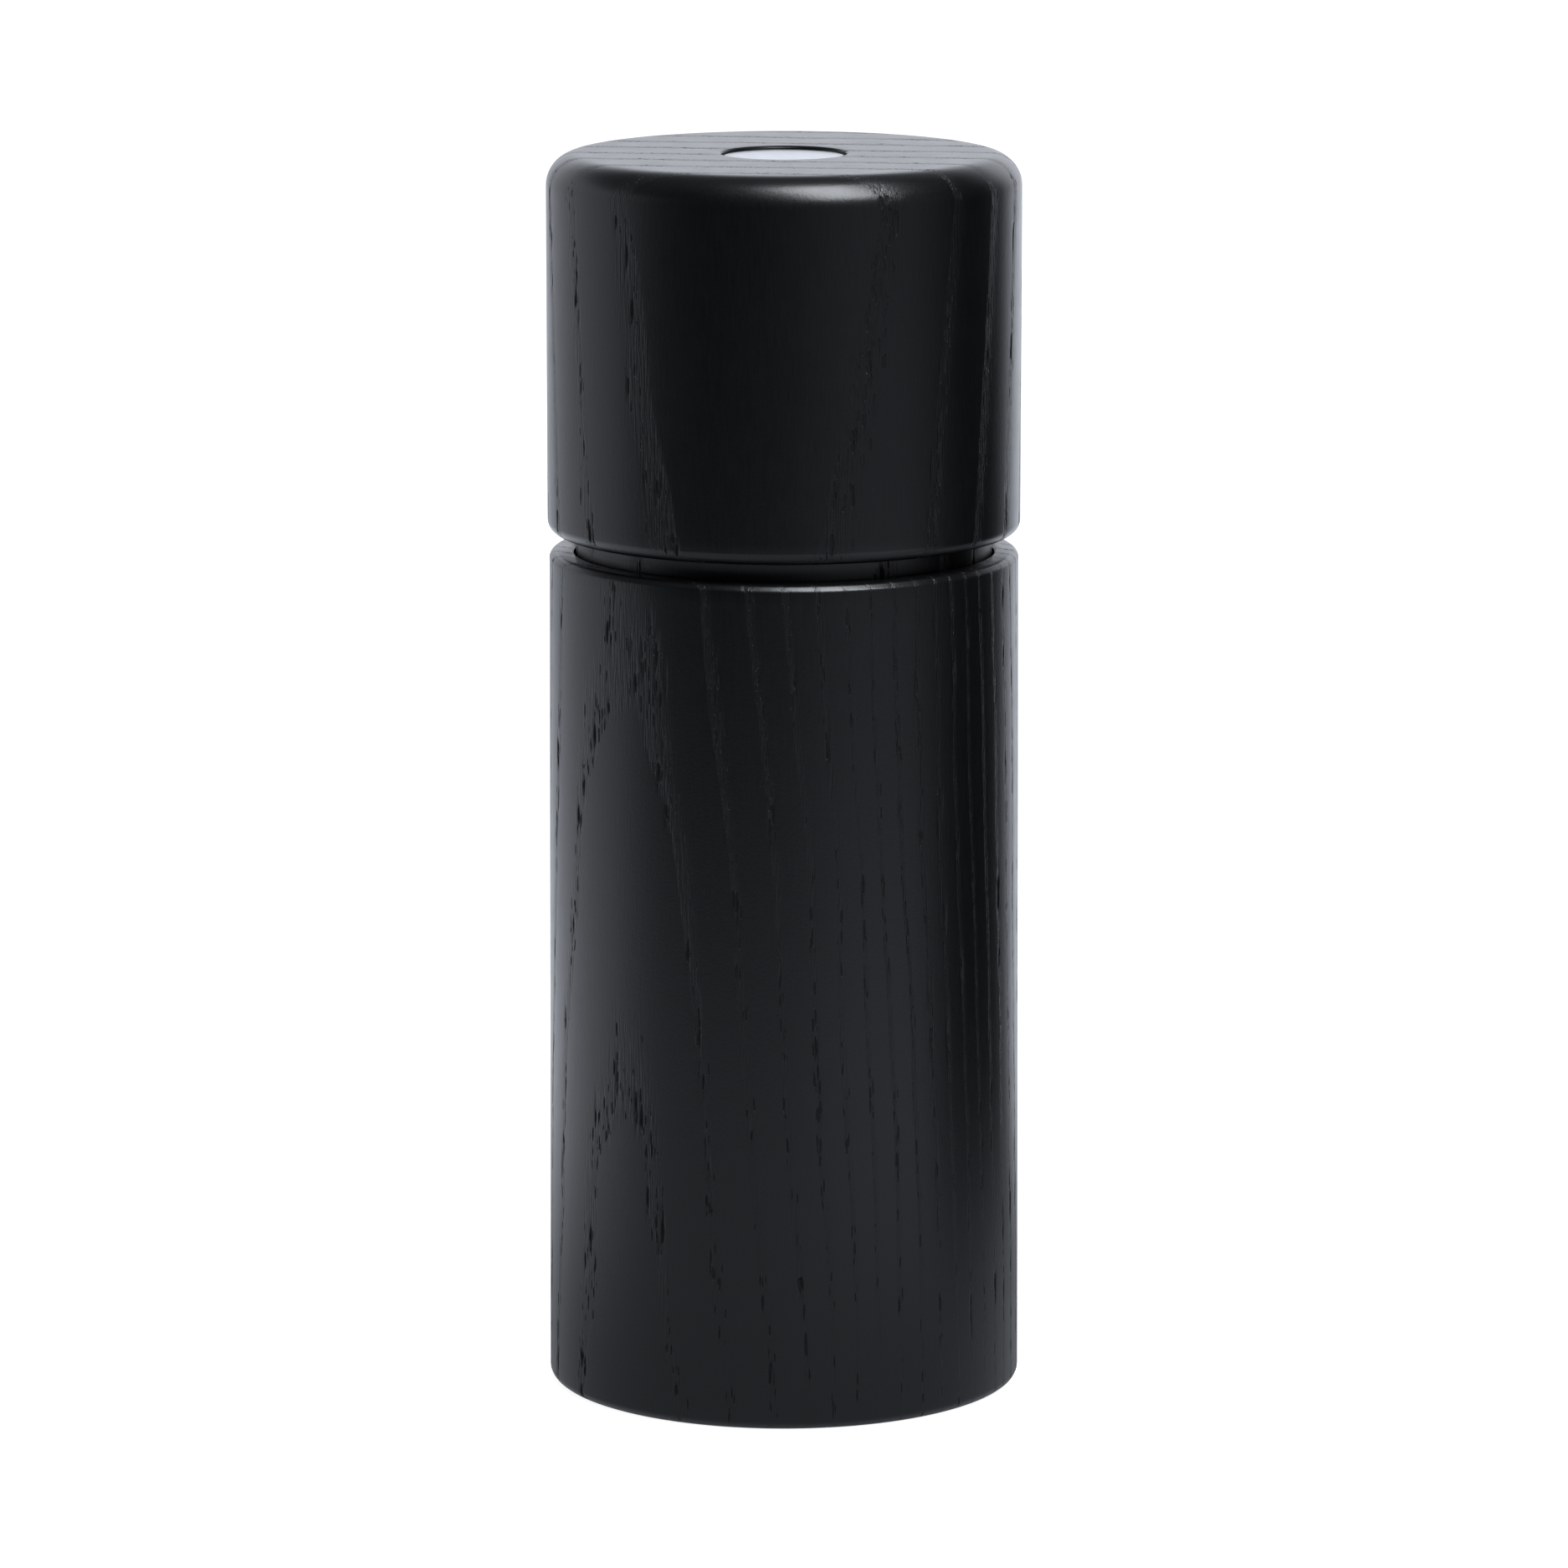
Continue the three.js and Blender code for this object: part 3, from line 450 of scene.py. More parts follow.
# %% Writing outlines
def arc(centre_r, centre_z, size, start, end, steps):
    """Points of a rounded corner, from one angle in degrees to another."""
    angles = [math.radians(start + (end - start) * i / steps) for i in range(steps + 1)]
    return [(centre_r + size * math.cos(a), centre_z + size * math.sin(a)) for a in angles]


def line(start, end, steps):
    """Points between two corners, without the corners themselves."""
    return [
        (start[0] + (end[0] - start[0]) * i / steps, start[1] + (end[1] - start[1]) * i / steps)
        for i in range(1, steps)
    ]


# %% [markdown]
# ## The body
#
# The body is a thick tube: a mouth for the head's spigot at the top, a chamber for the peppercorns, and a
# recess under the base that keeps the knob off the table. Its outside has a small round at the rim and at
# the foot. The outside gets many rows, because that is where the vessels are carved; the bore gets few.

# %% The body
RIM_RELIEF = 0.4
MOUTH_WALL = 3.1
CHAMBER_WALL = 9.8
FOOT_WALL = 4.4
FOOT_ROUND = 1.2
RIM_ROUND = 1
MOUTH_FLOOR = 96.9
RECESS_DEPTH = 8
ARRIS = 0.4
CARVING_DEPTH = 0.14 * MM
body_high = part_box("body_shell")[1]
BODY_TOP = body_high.z / MM
FOOT_RADIUS = body_high.x / MM
RIM_RADIUS = FOOT_RADIUS - RIM_RELIEF
MOUTH_RADIUS = RIM_RADIUS - MOUTH_WALL
CHAMBER_RADIUS = RIM_RADIUS - CHAMBER_WALL
RECESS_RADIUS = FOOT_RADIUS - FOOT_WALL
AROUND = 840
SIDE_ROWS = 68

foot = arc(FOOT_RADIUS - FOOT_ROUND, FOOT_ROUND, FOOT_ROUND, -90, 0, 6)
rim = arc(RIM_RADIUS - RIM_ROUND, BODY_TOP - RIM_ROUND, RIM_ROUND, 0, 90, 6)
body_outline = [
    (RECESS_RADIUS + ARRIS, 0),
    (RECESS_RADIUS + ARRIS + 0.1, 0),
    *line((RECESS_RADIUS + ARRIS + 0.1, 0), foot[0], 3),
    *foot,
    *line(foot[-1], rim[0], SIDE_ROWS),
    *rim,
    *line(rim[-1], (MOUTH_RADIUS + ARRIS, BODY_TOP), 3),
    *arc(MOUTH_RADIUS + ARRIS, BODY_TOP - ARRIS, ARRIS, 90, 180, 3),
    (MOUTH_RADIUS, BODY_TOP - 3),
    (MOUTH_RADIUS, MOUTH_FLOOR + 0.1),
    (MOUTH_RADIUS - 0.1, MOUTH_FLOOR),
    *line((MOUTH_RADIUS - 0.1, MOUTH_FLOOR), (CHAMBER_RADIUS + ARRIS, MOUTH_FLOOR), 3),
    *arc(CHAMBER_RADIUS + ARRIS, MOUTH_FLOOR - ARRIS, ARRIS, 90, 180, 2),
    *line((CHAMBER_RADIUS, MOUTH_FLOOR - ARRIS), (CHAMBER_RADIUS, RECESS_DEPTH + 0.1), 5),
    (CHAMBER_RADIUS, RECESS_DEPTH + 0.1),
    (CHAMBER_RADIUS + 0.1, RECESS_DEPTH),
    (RECESS_RADIUS - 0.1, RECESS_DEPTH),
    (RECESS_RADIUS, RECESS_DEPTH - 0.1),
    (RECESS_RADIUS, ARRIS + 0.1),
    (RECESS_RADIUS, ARRIS),
    (RECESS_RADIUS + ARRIS, 0),
]
body = turned(
    "wood_body", body_outline, AROUND, body_ash, **{"Carving depth": CARVING_DEPTH}, **BODY_RINGS
)
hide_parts("body_shell")
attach(body, "mill_body")

# %% [markdown]
# ## The head
#
# The head is nearly solid. Its top edge has a large round that catches the light from above, and its
# lower edge a small one. The spigot below it is narrower, so it is in shadow in the groove. A shallow
# hole in the top takes the metal disc, and a bore from below takes the drive socket.

# %% The head
SHADOW_GAP = 2.4
LOWER_ROUND = 1.6
TOP_ROUND = 4
HOLE_ROUND = 0.25
SPIGOT_ROOM = 0.3
DISC_ROOM = 0.3
PAD_THICK = 0.6
SOCKET_FLANGE = 6
head_low, head_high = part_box("head_shell")
HEAD_TOP = head_high.z / MM
HEAD_RADIUS = head_high.x / MM
HEAD_BOTTOM = BODY_TOP + SHADOW_GAP
SPIGOT_BOTTOM = head_low.z / MM
SPIGOT_RADIUS = MOUTH_RADIUS - SPIGOT_ROOM
disc_low, disc_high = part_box("top_disc")
DISC_RADIUS = disc_high.x / MM
HOLE_RADIUS = DISC_RADIUS + DISC_ROOM
HOLE_FLOOR = disc_low.z / MM - PAD_THICK
socket_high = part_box("drive_socket")[1]
SOCKET_TOP = socket_high.z / MM
SOCKET_FLANGE_RADIUS = socket_high.x / MM
SOCKET_RADIUS = SOCKET_FLANGE_RADIUS - SOCKET_FLANGE

lower_round = arc(HEAD_RADIUS - LOWER_ROUND, HEAD_BOTTOM + LOWER_ROUND, LOWER_ROUND, -90, 0, 7)
top_round = arc(HEAD_RADIUS - TOP_ROUND, HEAD_TOP - TOP_ROUND, TOP_ROUND, 0, 90, 12)
hole_edge = arc(HOLE_RADIUS + HOLE_ROUND, HEAD_TOP - HOLE_ROUND, HOLE_ROUND, 90, 180, 3)
head_outline = [
    (0, SOCKET_TOP + 0.1),
    (SOCKET_RADIUS + 0.2, SOCKET_TOP + 0.1),
    (SOCKET_RADIUS + 0.3, SOCKET_TOP),
    *line((SOCKET_RADIUS + 0.3, SOCKET_TOP), (SOCKET_RADIUS + 0.3, SPIGOT_BOTTOM + 2.3), 3),
    (SOCKET_RADIUS + 0.3, SPIGOT_BOTTOM + 2.4),
    (SOCKET_RADIUS + 0.4, SPIGOT_BOTTOM + 2.3),
    (SOCKET_FLANGE_RADIUS + 0.2, SPIGOT_BOTTOM + 2.3),
    (SOCKET_FLANGE_RADIUS + 0.3, SPIGOT_BOTTOM + 2.2),
    (SOCKET_FLANGE_RADIUS + 0.3, SPIGOT_BOTTOM + 0.1),
    (SOCKET_FLANGE_RADIUS + 0.4, SPIGOT_BOTTOM),
    *line((SOCKET_FLANGE_RADIUS + 0.4, SPIGOT_BOTTOM), (SPIGOT_RADIUS - ARRIS, SPIGOT_BOTTOM), 6),
    *arc(SPIGOT_RADIUS - ARRIS, SPIGOT_BOTTOM + ARRIS, ARRIS, -90, 0, 2),
    *line((SPIGOT_RADIUS, SPIGOT_BOTTOM + ARRIS), (SPIGOT_RADIUS, HEAD_BOTTOM - 0.1), 9),
    (SPIGOT_RADIUS, HEAD_BOTTOM - 0.1),
    (SPIGOT_RADIUS + 0.1, HEAD_BOTTOM),
    *lower_round,
    *line(lower_round[-1], top_round[0], SIDE_ROWS // 2),
    *top_round,
    *line(top_round[-1], hole_edge[0], 16),
    *hole_edge,
    (HOLE_RADIUS, HOLE_FLOOR + 0.1),
    (HOLE_RADIUS - 0.1, HOLE_FLOOR),
    (0, HOLE_FLOOR),
]
head = turned(
    "wood_head", head_outline, AROUND, head_ash, **{"Carving depth": CARVING_DEPTH}, **HEAD_RINGS
)
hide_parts("head_shell")
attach(head, "head")

# %% [markdown]
# ## Metal
#
# The disc on top was faced on a lathe, which leaves very fine rings. They are far too fine to model, but
# they stretch the shine, so the group below turns them into a small change of height and of roughness.
# The same group, with other values, finishes the washers, clips and the shaft.

# %% Fine tool marks
def tool_mark_group():
    tree, given, result = new_group(
        "ShaderNodeTree", "Tool marks",
        [("Position", "Vector"), ("Marks per mm", "Float", 8.0), ("Smudges", "Float", 0.5)],
        [("Mark", "Float"), ("Smudge", "Float")],
    )
    mm = vector_calc(tree, "MULTIPLY", given["Position"], (1000, 1000, 1000))
    flat = vector_calc(tree, "MULTIPLY", mm, (1, 1, 0))
    radius = vector_calc(tree, "LENGTH", flat, output="Value")
    height = put(tree, "ShaderNodeSeparateXYZ", {0: mm}).outputs[2]
    pass_number = calc(tree, "MULTIPLY", calc(tree, "ADD", radius, height), given["Marks per mm"])
    marks = put(
        tree, "ShaderNodeTexNoise", {"W": pass_number, "Scale": 1.0, "Detail": 3.0}, noise_dimensions="1D",
    )
    cloud_place = vector_calc(tree, "MULTIPLY", mm, (0.5, 0.5, 0.5))
    cloud = put(tree, "ShaderNodeTexNoise", {"Vector": cloud_place, "Scale": 1.0, "Detail": 3.0})
    tree.links.new(marks.outputs[0], result["Mark"])
    tree.links.new(calc(tree, "MULTIPLY", cloud.outputs[0], given["Smudges"]), result["Smudge"])
    return tree


tool_marks = tool_mark_group()


def metal_material(name, bright, dark, roughness, marks_per_mm, depth):
    material = bpy.data.materials.new(name)
    material.use_nodes = True
    tree = material.node_tree
    shader = tree.nodes["Principled BSDF"]
    marks = put(tree, "ShaderNodeGroup", node_tree=tool_marks)
    tree.links.new(tree.nodes.new("ShaderNodeTexCoord").outputs["Object"], marks.inputs["Position"])
    marks.inputs["Marks per mm"].default_value = marks_per_mm
    tint = put(tree, "ShaderNodeMix", {"Factor": marks.outputs["Mark"]}, data_type="RGBA")
    tint.inputs[6].default_value = (*dark, 1)
    tint.inputs[7].default_value = (*bright, 1)
    tree.links.new(tint.outputs[2], shader.inputs["Base Color"])
    rough = calc(tree, "MULTIPLY_ADD", marks.outputs["Smudge"], 0.2, roughness)
    tree.links.new(rough, shader.inputs["Roughness"])
    bump = put(
        tree, "ShaderNodeBump", {"Height": marks.outputs["Mark"], "Strength": 0.5, "Distance": depth}
    )
    tree.links.new(bump.outputs[0], shader.inputs["Normal"])
    shader.inputs["Metallic"].default_value = 1.0
    return material


disc_metal = metal_material(
    "faced_steel", bright=(0.58, 0.59, 0.61), dark=(0.47, 0.48, 0.50),
    roughness=0.26, marks_per_mm=9.0, depth=0.00001,
)
shaft_metal = metal_material(
    "drawn_aluminium", bright=(0.80, 0.81, 0.82), dark=(0.66, 0.67, 0.69),
    roughness=0.3, marks_per_mm=3.0, depth=0.00002,
)
spring_metal = metal_material(
    "spring_steel", bright=(0.62, 0.63, 0.65), dark=(0.42, 0.43, 0.45),
    roughness=0.24, marks_per_mm=4.0, depth=0.00001,
)
print("metals:", ", ".join(metal.name for metal in (disc_metal, shaft_metal, spring_metal)))

# %% [markdown]
# The disc is a coin with a broken edge. It sits a little below the wood, on a pad of foam tape that nobody
# sees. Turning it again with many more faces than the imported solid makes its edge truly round.

# %% The disc in the top
DISC_FACE = disc_high.z / MM
DISC_BACK = disc_low.z / MM
DISC_EDGE = 0.2
disc_edge = arc(DISC_RADIUS - DISC_EDGE, DISC_FACE - DISC_EDGE, DISC_EDGE, 0, 90, 4)
disc_outline = [
    (0, DISC_BACK),
    (DISC_RADIUS - 0.1, DISC_BACK),
    (DISC_RADIUS, DISC_BACK + 0.1),
    *disc_edge,
    *line(disc_edge[-1], (0, DISC_FACE), 12),
    (0, DISC_FACE),
]
disc = turned("faced_disc", disc_outline, around=192, finish=disc_metal)
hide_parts("top_disc")
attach(disc, "head")

# %% [markdown]
# ## Plastic, ceramic and foam
#
# Moulded plastic takes a fine matt texture from its mould. Ceramic is duller and has faint specks. Both
# take the same skin as the wood's oil film, at other scales.

# %% Moulded and fired surfaces
def matt_material(name, light, dark, roughness, grains_per_mm, depth):
    material = bpy.data.materials.new(name)
    material.use_nodes = True
    tree = material.node_tree
    shader = tree.nodes["Principled BSDF"]
    skin = put(tree, "ShaderNodeGroup", node_tree=fine_skin)
    tree.links.new(tree.nodes.new("ShaderNodeTexCoord").outputs["Object"], skin.inputs["Position"])
    skin.inputs["Grains per mm"].default_value = grains_per_mm
    tint = put(tree, "ShaderNodeMix", {"Factor": skin.outputs["Cloud"]}, data_type="RGBA")
    tint.inputs[6].default_value = (*dark, 1)
    tint.inputs[7].default_value = (*light, 1)
    tree.links.new(tint.outputs[2], shader.inputs["Base Color"])
    rough = calc(tree, "MULTIPLY_ADD", skin.outputs["Skin"], 0.15, roughness)
    tree.links.new(rough, shader.inputs["Roughness"])
    bump = put(
        tree, "ShaderNodeBump", {"Height": skin.outputs["Skin"], "Strength": 0.5, "Distance": depth}
    )
    tree.links.new(bump.outputs[0], shader.inputs["Normal"])
    return material


black_plastic = matt_material(
    "black_nylon", light=(0.022, 0.022, 0.023), dark=(0.014, 0.014, 0.015),
    roughness=0.45, grains_per_mm=7.0, depth=0.00004,
)
grey_plastic = matt_material(
    "grey_acetal", light=(0.30, 0.31, 0.32), dark=(0.25, 0.26, 0.27),
    roughness=0.38, grains_per_mm=5.0, depth=0.00002,
)
ceramic = matt_material(
    "fired_ceramic", light=(0.80, 0.78, 0.73), dark=(0.70, 0.68, 0.62),
    roughness=0.42, grains_per_mm=9.0, depth=0.00003,
)
foam = matt_material(
    "foam_tape", light=(0.42, 0.42, 0.38), dark=(0.34, 0.34, 0.31),
    roughness=0.85, grains_per_mm=4.0, depth=0.00008,
)
print("matt finishes:", ", ".join(matt.name for matt in (black_plastic, grey_plastic, ceramic, foam)))

# %% [markdown]
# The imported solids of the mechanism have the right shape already, so they stay, and get these finishes in
# place of the plain ones they were packed with.

# %% Finishes for the mechanism
FINISHES = {
    "black_plastic": black_plastic,
    "grey_plastic": grey_plastic,
    "ceramic": ceramic,
    "aluminium": shaft_metal,
    "steel": spring_metal,
    "adhesive": foam,
    "disc_steel": disc_metal,
    "stained_wood": body_ash,
}
slot_of = {part["node"]: part["material_slot"] for part in frame["record"]["subparts"]}
for node_name, node_object in frame["nodes"].items():
    for material_slot in node_object.material_slots:
        material_slot.material = FINISHES[slot_of[node_name]]
print("finished", len(slot_of), "packed pieces")

# %% [markdown]
# ## The knob under the base
#
# The knob is turned with twelve flutes for the fingers. It is a cup with its rim down, and a boss in the
# middle that runs on the shaft's thread.

# %% The fluted knob
knob_low, knob_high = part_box("adjuster_knob")
KNOB_RADIUS = knob_high.x / MM
KNOB_BASE = knob_low.z / MM
KNOB_TOP = knob_high.z / MM
KNOB_EDGE = 0.8
KNOB_BORE = 2.8
KNOB_BOSS = 5.8
KNOB_WEB_THICK = 2.6
KNOB_WALL = 2.3
FLUTE_COUNT = 12.0
FLUTE_DEPTH = 0.7 * MM
KNOB_WEB = KNOB_TOP - KNOB_WEB_THICK
KNOB_CUP = KNOB_RADIUS - KNOB_WALL

lower_edge = arc(KNOB_RADIUS - KNOB_EDGE, KNOB_BASE + KNOB_EDGE, KNOB_EDGE, -90, 0, 6)
upper_edge = arc(KNOB_RADIUS - KNOB_EDGE, KNOB_TOP - KNOB_EDGE, KNOB_EDGE, 0, 90, 6)
knob_outline = [
    (KNOB_BORE, KNOB_WEB - 1),
    *arc(KNOB_BOSS - 0.3, KNOB_WEB - 0.7, 0.3, -90, 0, 3),
    (KNOB_BOSS, KNOB_WEB - 0.1),
    (KNOB_BOSS + 0.1, KNOB_WEB),
    (KNOB_CUP - 0.5, KNOB_WEB),
    (KNOB_CUP - 0.1, KNOB_WEB - 0.1),
    (KNOB_CUP, KNOB_WEB - 0.5),
    *arc(KNOB_CUP + 0.2, KNOB_BASE + 0.2, 0.2, 180, 270, 3),
    *lower_edge,
    *line(lower_edge[-1], upper_edge[0], 6),
    *upper_edge,
    *line(upper_edge[-1], (KNOB_BORE, KNOB_TOP), 4),
    (KNOB_BORE, KNOB_TOP),
    (KNOB_BORE, KNOB_WEB - 1),
]
knob = turned(
    "fluted_knob", knob_outline, around=288, finish=black_plastic,
    **{
        "Flutes": FLUTE_COUNT, "Flute depth": FLUTE_DEPTH,
        "Fluted beyond": (KNOB_RADIUS - KNOB_EDGE) * MM,
    },
)
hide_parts("adjuster_knob")
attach(knob, "adjuster")

# %% [markdown]
# ## Screws set round a circle
#
# Three screws hold the housing in the base and three hold the socket in the head. One screw is turned, and
# a second tree cuts its cross slot and sets copies round a circle. It takes the count, the circle and the
# first angle, so both sets come from it.

# %% Screws, as a geometry tree
def screw_circle_tree():
    tree, given, result = new_group(
        "GeometryNodeTree", "Screws round a circle",
        [
            ("Screw", "Geometry"), ("Count", "Int", 3), ("Circle radius", "Float", 0.02),
            ("First angle", "Float", 0.0), ("Height", "Float", 0.0), ("Slot length", "Float", 0.0029),
            ("Slot width", "Float", 0.0007), ("Slot depth", "Float", 0.0008), ("Finish", "Material"),
        ],
        [("Screws", "Geometry")],
    )
    tall = calc(tree, "MULTIPLY", given["Slot depth"], 2.0)
    slotted = given["Screw"]
    for wide, deep in (("Slot length", "Slot width"), ("Slot width", "Slot length")):
        size = put(tree, "ShaderNodeCombineXYZ", {0: given[wide], 1: given[deep], 2: tall}).outputs[0]
        blade = put(tree, "GeometryNodeMeshCube", {"Size": size}).outputs[0]
        cut = put(
            tree, "GeometryNodeMeshBoolean", {"Mesh 1": slotted, "Mesh 2": blade},
            operation="DIFFERENCE", solver="MANIFOLD",
        )
        slotted = cut.outputs[0]
    points = put(tree, "GeometryNodePoints", {"Count": given["Count"]}).outputs[0]
    step = calc(tree, "DIVIDE", 2 * math.pi, given["Count"])
    number = tree.nodes.new("GeometryNodeInputIndex").outputs[0]
    turn = calc(tree, "MULTIPLY_ADD", number, step, given["First angle"])
    east = calc(tree, "MULTIPLY", given["Circle radius"], calc(tree, "COSINE", turn))
    north = calc(tree, "MULTIPLY", given["Circle radius"], calc(tree, "SINE", turn))
    spot = put(tree, "ShaderNodeCombineXYZ", {0: east, 1: north, 2: given["Height"]}).outputs[0]
    placed = put(tree, "GeometryNodeSetPosition", {"Geometry": points, "Position": spot}).outputs[0]
    facing_out = put(tree, "ShaderNodeCombineXYZ", {2: turn}).outputs[0]
    copies = put(
        tree, "GeometryNodeInstanceOnPoints", {"Points": placed, "Instance": slotted, "Rotation": facing_out}
    ).outputs[0]
    real = put(tree, "GeometryNodeRealizeInstances", {"Geometry": copies}).outputs[0]
    done = put(tree, "GeometryNodeSetMaterial", {"Geometry": real, "Material": given["Finish"]})
    tree.links.new(done.outputs[0], result["Screws"])
    return tree


screw_circle = screw_circle_tree()
print("screw tree has", len(screw_circle.nodes), "nodes")

# %% [markdown]
# The screw is countersunk, with a thread of 1.2 mm pitch that runs out towards its point.

# %% Two sets of screws
SCREW_LENGTH = 11
SCREW_HEAD = 2.4
SCREW_SHANK = 1.3
THREAD_PITCH = 1.2
THREAD_DEPTH = 0.35
screw_outline = [
    (0, 0),
    (SCREW_HEAD - 0.2, 0),
    *arc(SCREW_HEAD - 0.1, 0.1, 0.1, -60, 30, 2),
    *line((SCREW_HEAD, 0.2), (SCREW_SHANK + 0.05, 1.5), 3),
    (SCREW_SHANK, 1.7),
    *line((SCREW_SHANK, 1.7), (SCREW_SHANK, SCREW_LENGTH - 2), 44),
    *line((SCREW_SHANK, SCREW_LENGTH - 2), (0.1, SCREW_LENGTH), 12),
    (0, SCREW_LENGTH),
]
one_screw = turned(
    "one_screw", screw_outline, around=32, finish=spring_metal,
    **{
        "Flutes": 1.0, "Flute depth": THREAD_DEPTH * MM, "Twist per metre": 2 * math.pi / (THREAD_PITCH * MM),
        "Fluted beyond": 0.5 * MM, "Fluted within": (SCREW_SHANK + 0.01) * MM,
    },
)
for set_name, body_name in (("housing_screw", "mill_body"), ("socket_screw", "head")):
    low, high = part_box(set_name + "_1")
    middle = (low + high) / 2
    screws = grow(
        set_name + "s", screw_circle, one_screw.data,
        {
            "Circle radius": math.hypot(middle.x, middle.y), "First angle": math.atan2(middle.y, middle.x),
            "Height": low.z, "Finish": spring_metal,
        },
    )
    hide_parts(*[f"{set_name}_{i}" for i in (1, 2, 3)])
    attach(screws, body_name)
    print(set_name, len(screws.data.polygons), "faces,", round(volume(screws.data) * 1e9, 1), "mm3")
bpy.data.objects.remove(one_screw)

# %% [markdown]
# ## The spring
#
# The spring is one wire drawn along a helix whose end turns lie flat. In the mill it has to give when the
# cone is wound up, and it pushes against a washer.

# %% Coil of wire, as a geometry tree
def coil_tree():
    tree, given, result = new_group(
        "GeometryNodeTree", "Coil of wire",
        [
            ("Turns", "Float", 4.0), ("Coil radius", "Float", 0.005), ("Wire radius", "Float", 0.0005),
            ("Low", "Float", 0.0), ("High", "Float", 0.02), ("Flat turns", "Float", 0.5),
            ("Points per turn", "Int", 40), ("Finish", "Material"),
        ],
        [("Coil", "Geometry")],
    )
    count = calc(tree, "MULTIPLY", given["Turns"], given["Points per turn"])
    straight = tree.nodes.new("GeometryNodeCurvePrimitiveLine").outputs[0]
    points = put(tree, "GeometryNodeResampleCurve", {"Curve": straight, "Count": count}).outputs[0]
    along = tree.nodes.new("GeometryNodeSplineParameter").outputs["Factor"]
    turn = calc(tree, "MULTIPLY", calc(tree, "MULTIPLY", along, given["Turns"]), 2 * math.pi)
    flat = calc(tree, "DIVIDE", given["Flat turns"], given["Turns"])
    end = calc(tree, "SUBTRACT", 1.0, flat)
    low = calc(tree, "ADD", given["Low"], given["Wire radius"])
    high = calc(tree, "SUBTRACT", given["High"], given["Wire radius"])
    climb = {"Value": along, "From Min": flat, "From Max": end, "To Min": low, "To Max": high}
    height = put(tree, "ShaderNodeMapRange", climb).outputs["Result"]
    east = calc(tree, "MULTIPLY", given["Coil radius"], calc(tree, "COSINE", turn))
    north = calc(tree, "MULTIPLY", given["Coil radius"], calc(tree, "SINE", turn))
    spot = put(tree, "ShaderNodeCombineXYZ", {0: east, 1: north, 2: height}).outputs[0]
    helix = put(tree, "GeometryNodeSetPosition", {"Geometry": points, "Position": spot}).outputs[0]
    section = put(
        tree, "GeometryNodeCurvePrimitiveCircle", {"Resolution": 12, "Radius": given["Wire radius"]}
    ).outputs[0]
    wire = put(
        tree, "GeometryNodeCurveToMesh", {"Curve": helix, "Profile Curve": section, "Fill Caps": True}
    ).outputs[0]
    done = put(tree, "GeometryNodeSetMaterial", {"Geometry": wire, "Material": given["Finish"]})
    tree.links.new(done.outputs[0], result["Coil"])
    return tree


# %% [markdown]
# This spring has four turns of 1 mm wire. Its length and width come from the imported spring.

# %% The rotor spring
WIRE_RADIUS = 0.5
spring_low, spring_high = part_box("rotor_spring")
spring = grow(
    "coil_spring", coil_tree(), bpy.data.meshes.new("spring_start"),
    {
        "Coil radius": spring_high.x - WIRE_RADIUS * MM, "Wire radius": WIRE_RADIUS * MM,
        "Low": spring_low.z, "High": spring_high.z, "Finish": spring_metal,
    },
)
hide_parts("rotor_spring")
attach(spring, "drive_train")
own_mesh(spring)

# %% [markdown]
# ## The studio
#
# The mill stands on a white table in front of a white wall. Black wood shows almost nothing but what it
# mirrors, so the light is planned as what each side should mirror. The left looks into an open, bright
# room. A dark gap on the right gives that side its black band, and the wall behind draws a thin bright
# edge beside it. The wall fades out above, so the rounded edge of the head turns dark before it catches
# the soft box, which hangs high up in front and a little to the right.
#
# The upright sides look slightly down, so what they mirror is mostly the table. One group therefore gives
# the brightness for a compass direction, and both the wall and the table use it.

# %% What each side mirrors
# Compass direction in turns from straight behind the mill, clockwise, and the brightness seen there.
ROOM = [
    (-0.500, 0.07), (-0.400, 0.02), (-0.325, 0.09), (-0.285, 0.35), (-0.255, 0.62), (-0.210, 0.70),
    (-0.125, 0.75), (-0.085, 0.85), (-0.027, 1.30), (0.000, 1.45), (0.071, 1.60), (0.095, 1.40),
    (0.125, 0.35), (0.145, 0.012), (0.245, 0.01), (0.280, 0.12), (0.330, 0.28), (0.405, 0.26), (0.500, 0.07),
]


def room_group():
    tree, given, result = new_group(
        "ShaderNodeTree", "Room brightness", [("Toward", "Vector")], [("Brightness", "Float")]
    )
    toward = put(tree, "ShaderNodeSeparateXYZ", {0: given["Toward"]}).outputs
    turns = calc(tree, "DIVIDE", calc(tree, "ARCTAN2", toward[0], toward[1]), 2 * math.pi)
    ramp = put(tree, "ShaderNodeValToRGB", {0: calc(tree, "ADD", turns, 0.5)})
    while len(ramp.color_ramp.elements) < len(ROOM):
        ramp.color_ramp.elements.new(0.5)
    for element, (place, bright) in zip(ramp.color_ramp.elements, ROOM):
        element.position = place + 0.5
        element.color = (bright, bright, bright, 1)
    tree.links.new(ramp.outputs[0], result["Brightness"])
    return tree


room = room_group()
print("room has", len(ROOM), "directions")

# %% [markdown]
# The wall has no mesh. It is the world around the scene, as bright as the room group says, and it fades to
# near dark above, so that the rounded edge of the head has something dark to mirror. The camera itself
# sees plain white there, like a paper backdrop.

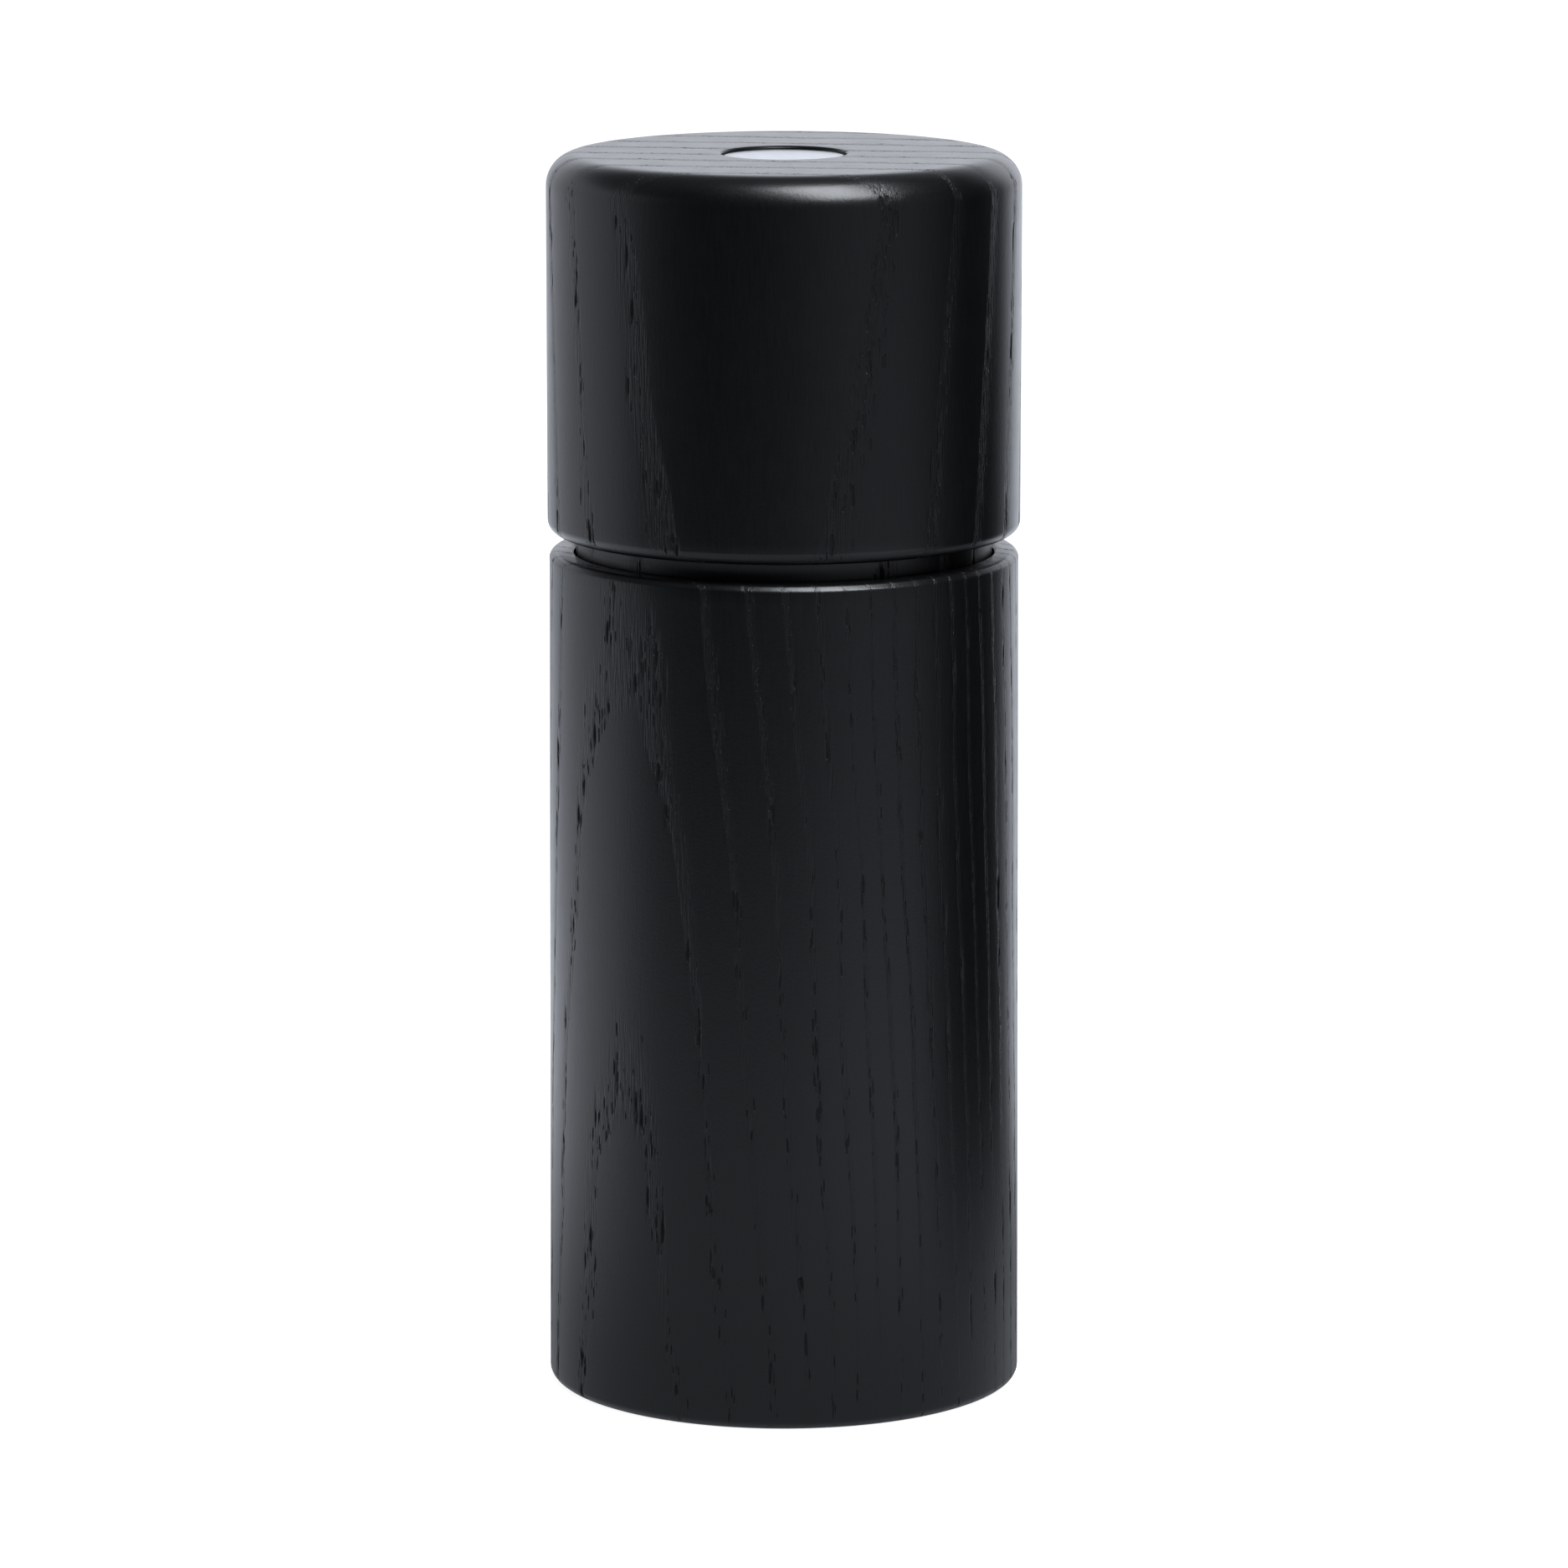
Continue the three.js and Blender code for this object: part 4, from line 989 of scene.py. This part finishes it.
# %% The wall and the dark above it
world = bpy.data.worlds.new("studio")
world.use_nodes = True
bpy.context.scene.world = world
sky = world.node_tree
sky.nodes.clear()
toward = sky.nodes.new("ShaderNodeTexCoord").outputs["Generated"]
around = put(sky, "ShaderNodeGroup", {0: toward}, node_tree=room)
rise = put(sky, "ShaderNodeSeparateXYZ", {0: toward}).outputs[2]
wall = fade(sky, rise, 0.36, 0.60, 0.99, 0.12)
lit = put(sky, "ShaderNodeBackground", {"Strength": calc(sky, "MULTIPLY", around.outputs[0], wall)})
lit.inputs["Color"].default_value = (0.92, 0.96, 1.04, 1)
plain = put(sky, "ShaderNodeBackground", {"Color": (1, 1, 1, 1), "Strength": 1.0})
seen_by_camera = sky.nodes.new("ShaderNodeLightPath").outputs["Is Camera Ray"]
both = put(sky, "ShaderNodeMixShader", {0: seen_by_camera, 1: lit.outputs[0], 2: plain.outputs[0]})
put(sky, "ShaderNodeOutputWorld", {0: both.outputs[0]})
print("world has", len(sky.nodes), "nodes")

# %% [markdown]
# The table has to look plain white, and still has to mirror as a table lit from one side. So it has two
# finishes. One is white, takes the contact shadow, and is seen directly. The other is a painted reflection:
# it glows as bright as the room in that direction, though it is no lamp, and is what the wood mirrors. Close
# to the mill it is a middle grey all round, as painted shade, and it stays lighter for longer on the open
# sides than beside the dark gap, as painted light.

# %% The table
TABLE_REACH = 6.0
TABLE_CORNERS = ((-1, -1), (1, -1), (1, 1), (-1, 1))
corners = [(east * TABLE_REACH, north * TABLE_REACH, 0) for east, north in TABLE_CORNERS]
floor_mesh = bpy.data.meshes.new("floor")
floor_mesh.from_pydata(corners, [], [(0, 1, 2, 3)])
floor = bpy.data.objects.new("floor", floor_mesh)
bpy.context.scene.collection.objects.link(floor)
floor_material = bpy.data.materials.new("white_table")
floor_material.use_nodes = True
table = floor_material.node_tree
table.nodes.clear()
spot = table.nodes.new("ShaderNodeTexCoord").outputs["Object"]
around = put(table, "ShaderNodeGroup", {0: spot}, node_tree=room).outputs[0]
distance = vector_calc(table, "LENGTH", spot, output="Value")
side = put(table, "ShaderNodeSeparateXYZ", {0: vector_calc(table, "NORMALIZE", spot)}).outputs
# Painted light: near the mill, the glow that the wood mirrors stays lighter on the open sides.
open_side = calc(table, "MAXIMUM", fade(table, side[1], -0.1, -0.5), fade(table, side[0], 0.2, -0.2))
painted_light_near_open_sides = calc(table, "MULTIPLY", fade(table, distance, 0.05, 0.6, 0.6, 0.0), open_side)
# Painted shade: close to the mill's foot, the glow drops to a middle grey.
foot = fade(table, distance, 0.04, 0.24, 1.0, 0.0)
glow = put(table, "ShaderNodeMix", {0: foot, 2: calc(table, "ADD", around, painted_light_near_open_sides), 3: 0.4}).outputs[0]
# Painted reflection: this emission is no lamp, and only reflection rays see it.
painted_reflection_glow = put(table, "ShaderNodeEmission", {"Color": (0.90, 0.95, 1.05, 1), "Strength": glow})
white = put(table, "ShaderNodeBsdfDiffuse", {"Color": (0.9, 0.9, 0.9, 1)})
lift = put(table, "ShaderNodeEmission", {"Color": (1, 1, 1, 1), "Strength": 0.9})
seen = put(table, "ShaderNodeAddShader", {0: white.outputs[0], 1: lift.outputs[0]})
direct = table.nodes.new("ShaderNodeLightPath").outputs["Is Camera Ray"]
mix = put(table, "ShaderNodeMixShader", {0: direct, 1: painted_reflection_glow.outputs[0], 2: seen.outputs[0]})
put(table, "ShaderNodeOutputMaterial", {0: mix.outputs[0]})
floor_mesh.materials.append(floor_material)
print("table reaches", TABLE_REACH, "m each way")

# %% [markdown]
# One soft box hangs high up in front of the mill, a little to the right. It draws the highlight on the
# rounded edges of the head and the rim, and lights the white table.

# %% The soft box overhead
def soft_box(name, place, target, width, height, power):
    """An oblong lamp at a place, turned to face a target."""
    data = bpy.data.lights.new(name, "AREA")
    data.shape = "RECTANGLE"
    data.size = width
    data.size_y = height
    data.energy = power
    data.color = (0.92, 0.95, 1.0)
    lamp = bpy.data.objects.new(name, data)
    lamp.location = place
    lamp.rotation_euler = (Vector(target) - Vector(place)).to_track_quat("-Z", "Y").to_euler()
    bpy.context.scene.collection.objects.link(lamp)


soft_box("overhead", place=(0.32, -0.41, 1.10), target=(0, 0, 0.15), width=0.50, height=0.80, power=17.0)
print("studio is lit")
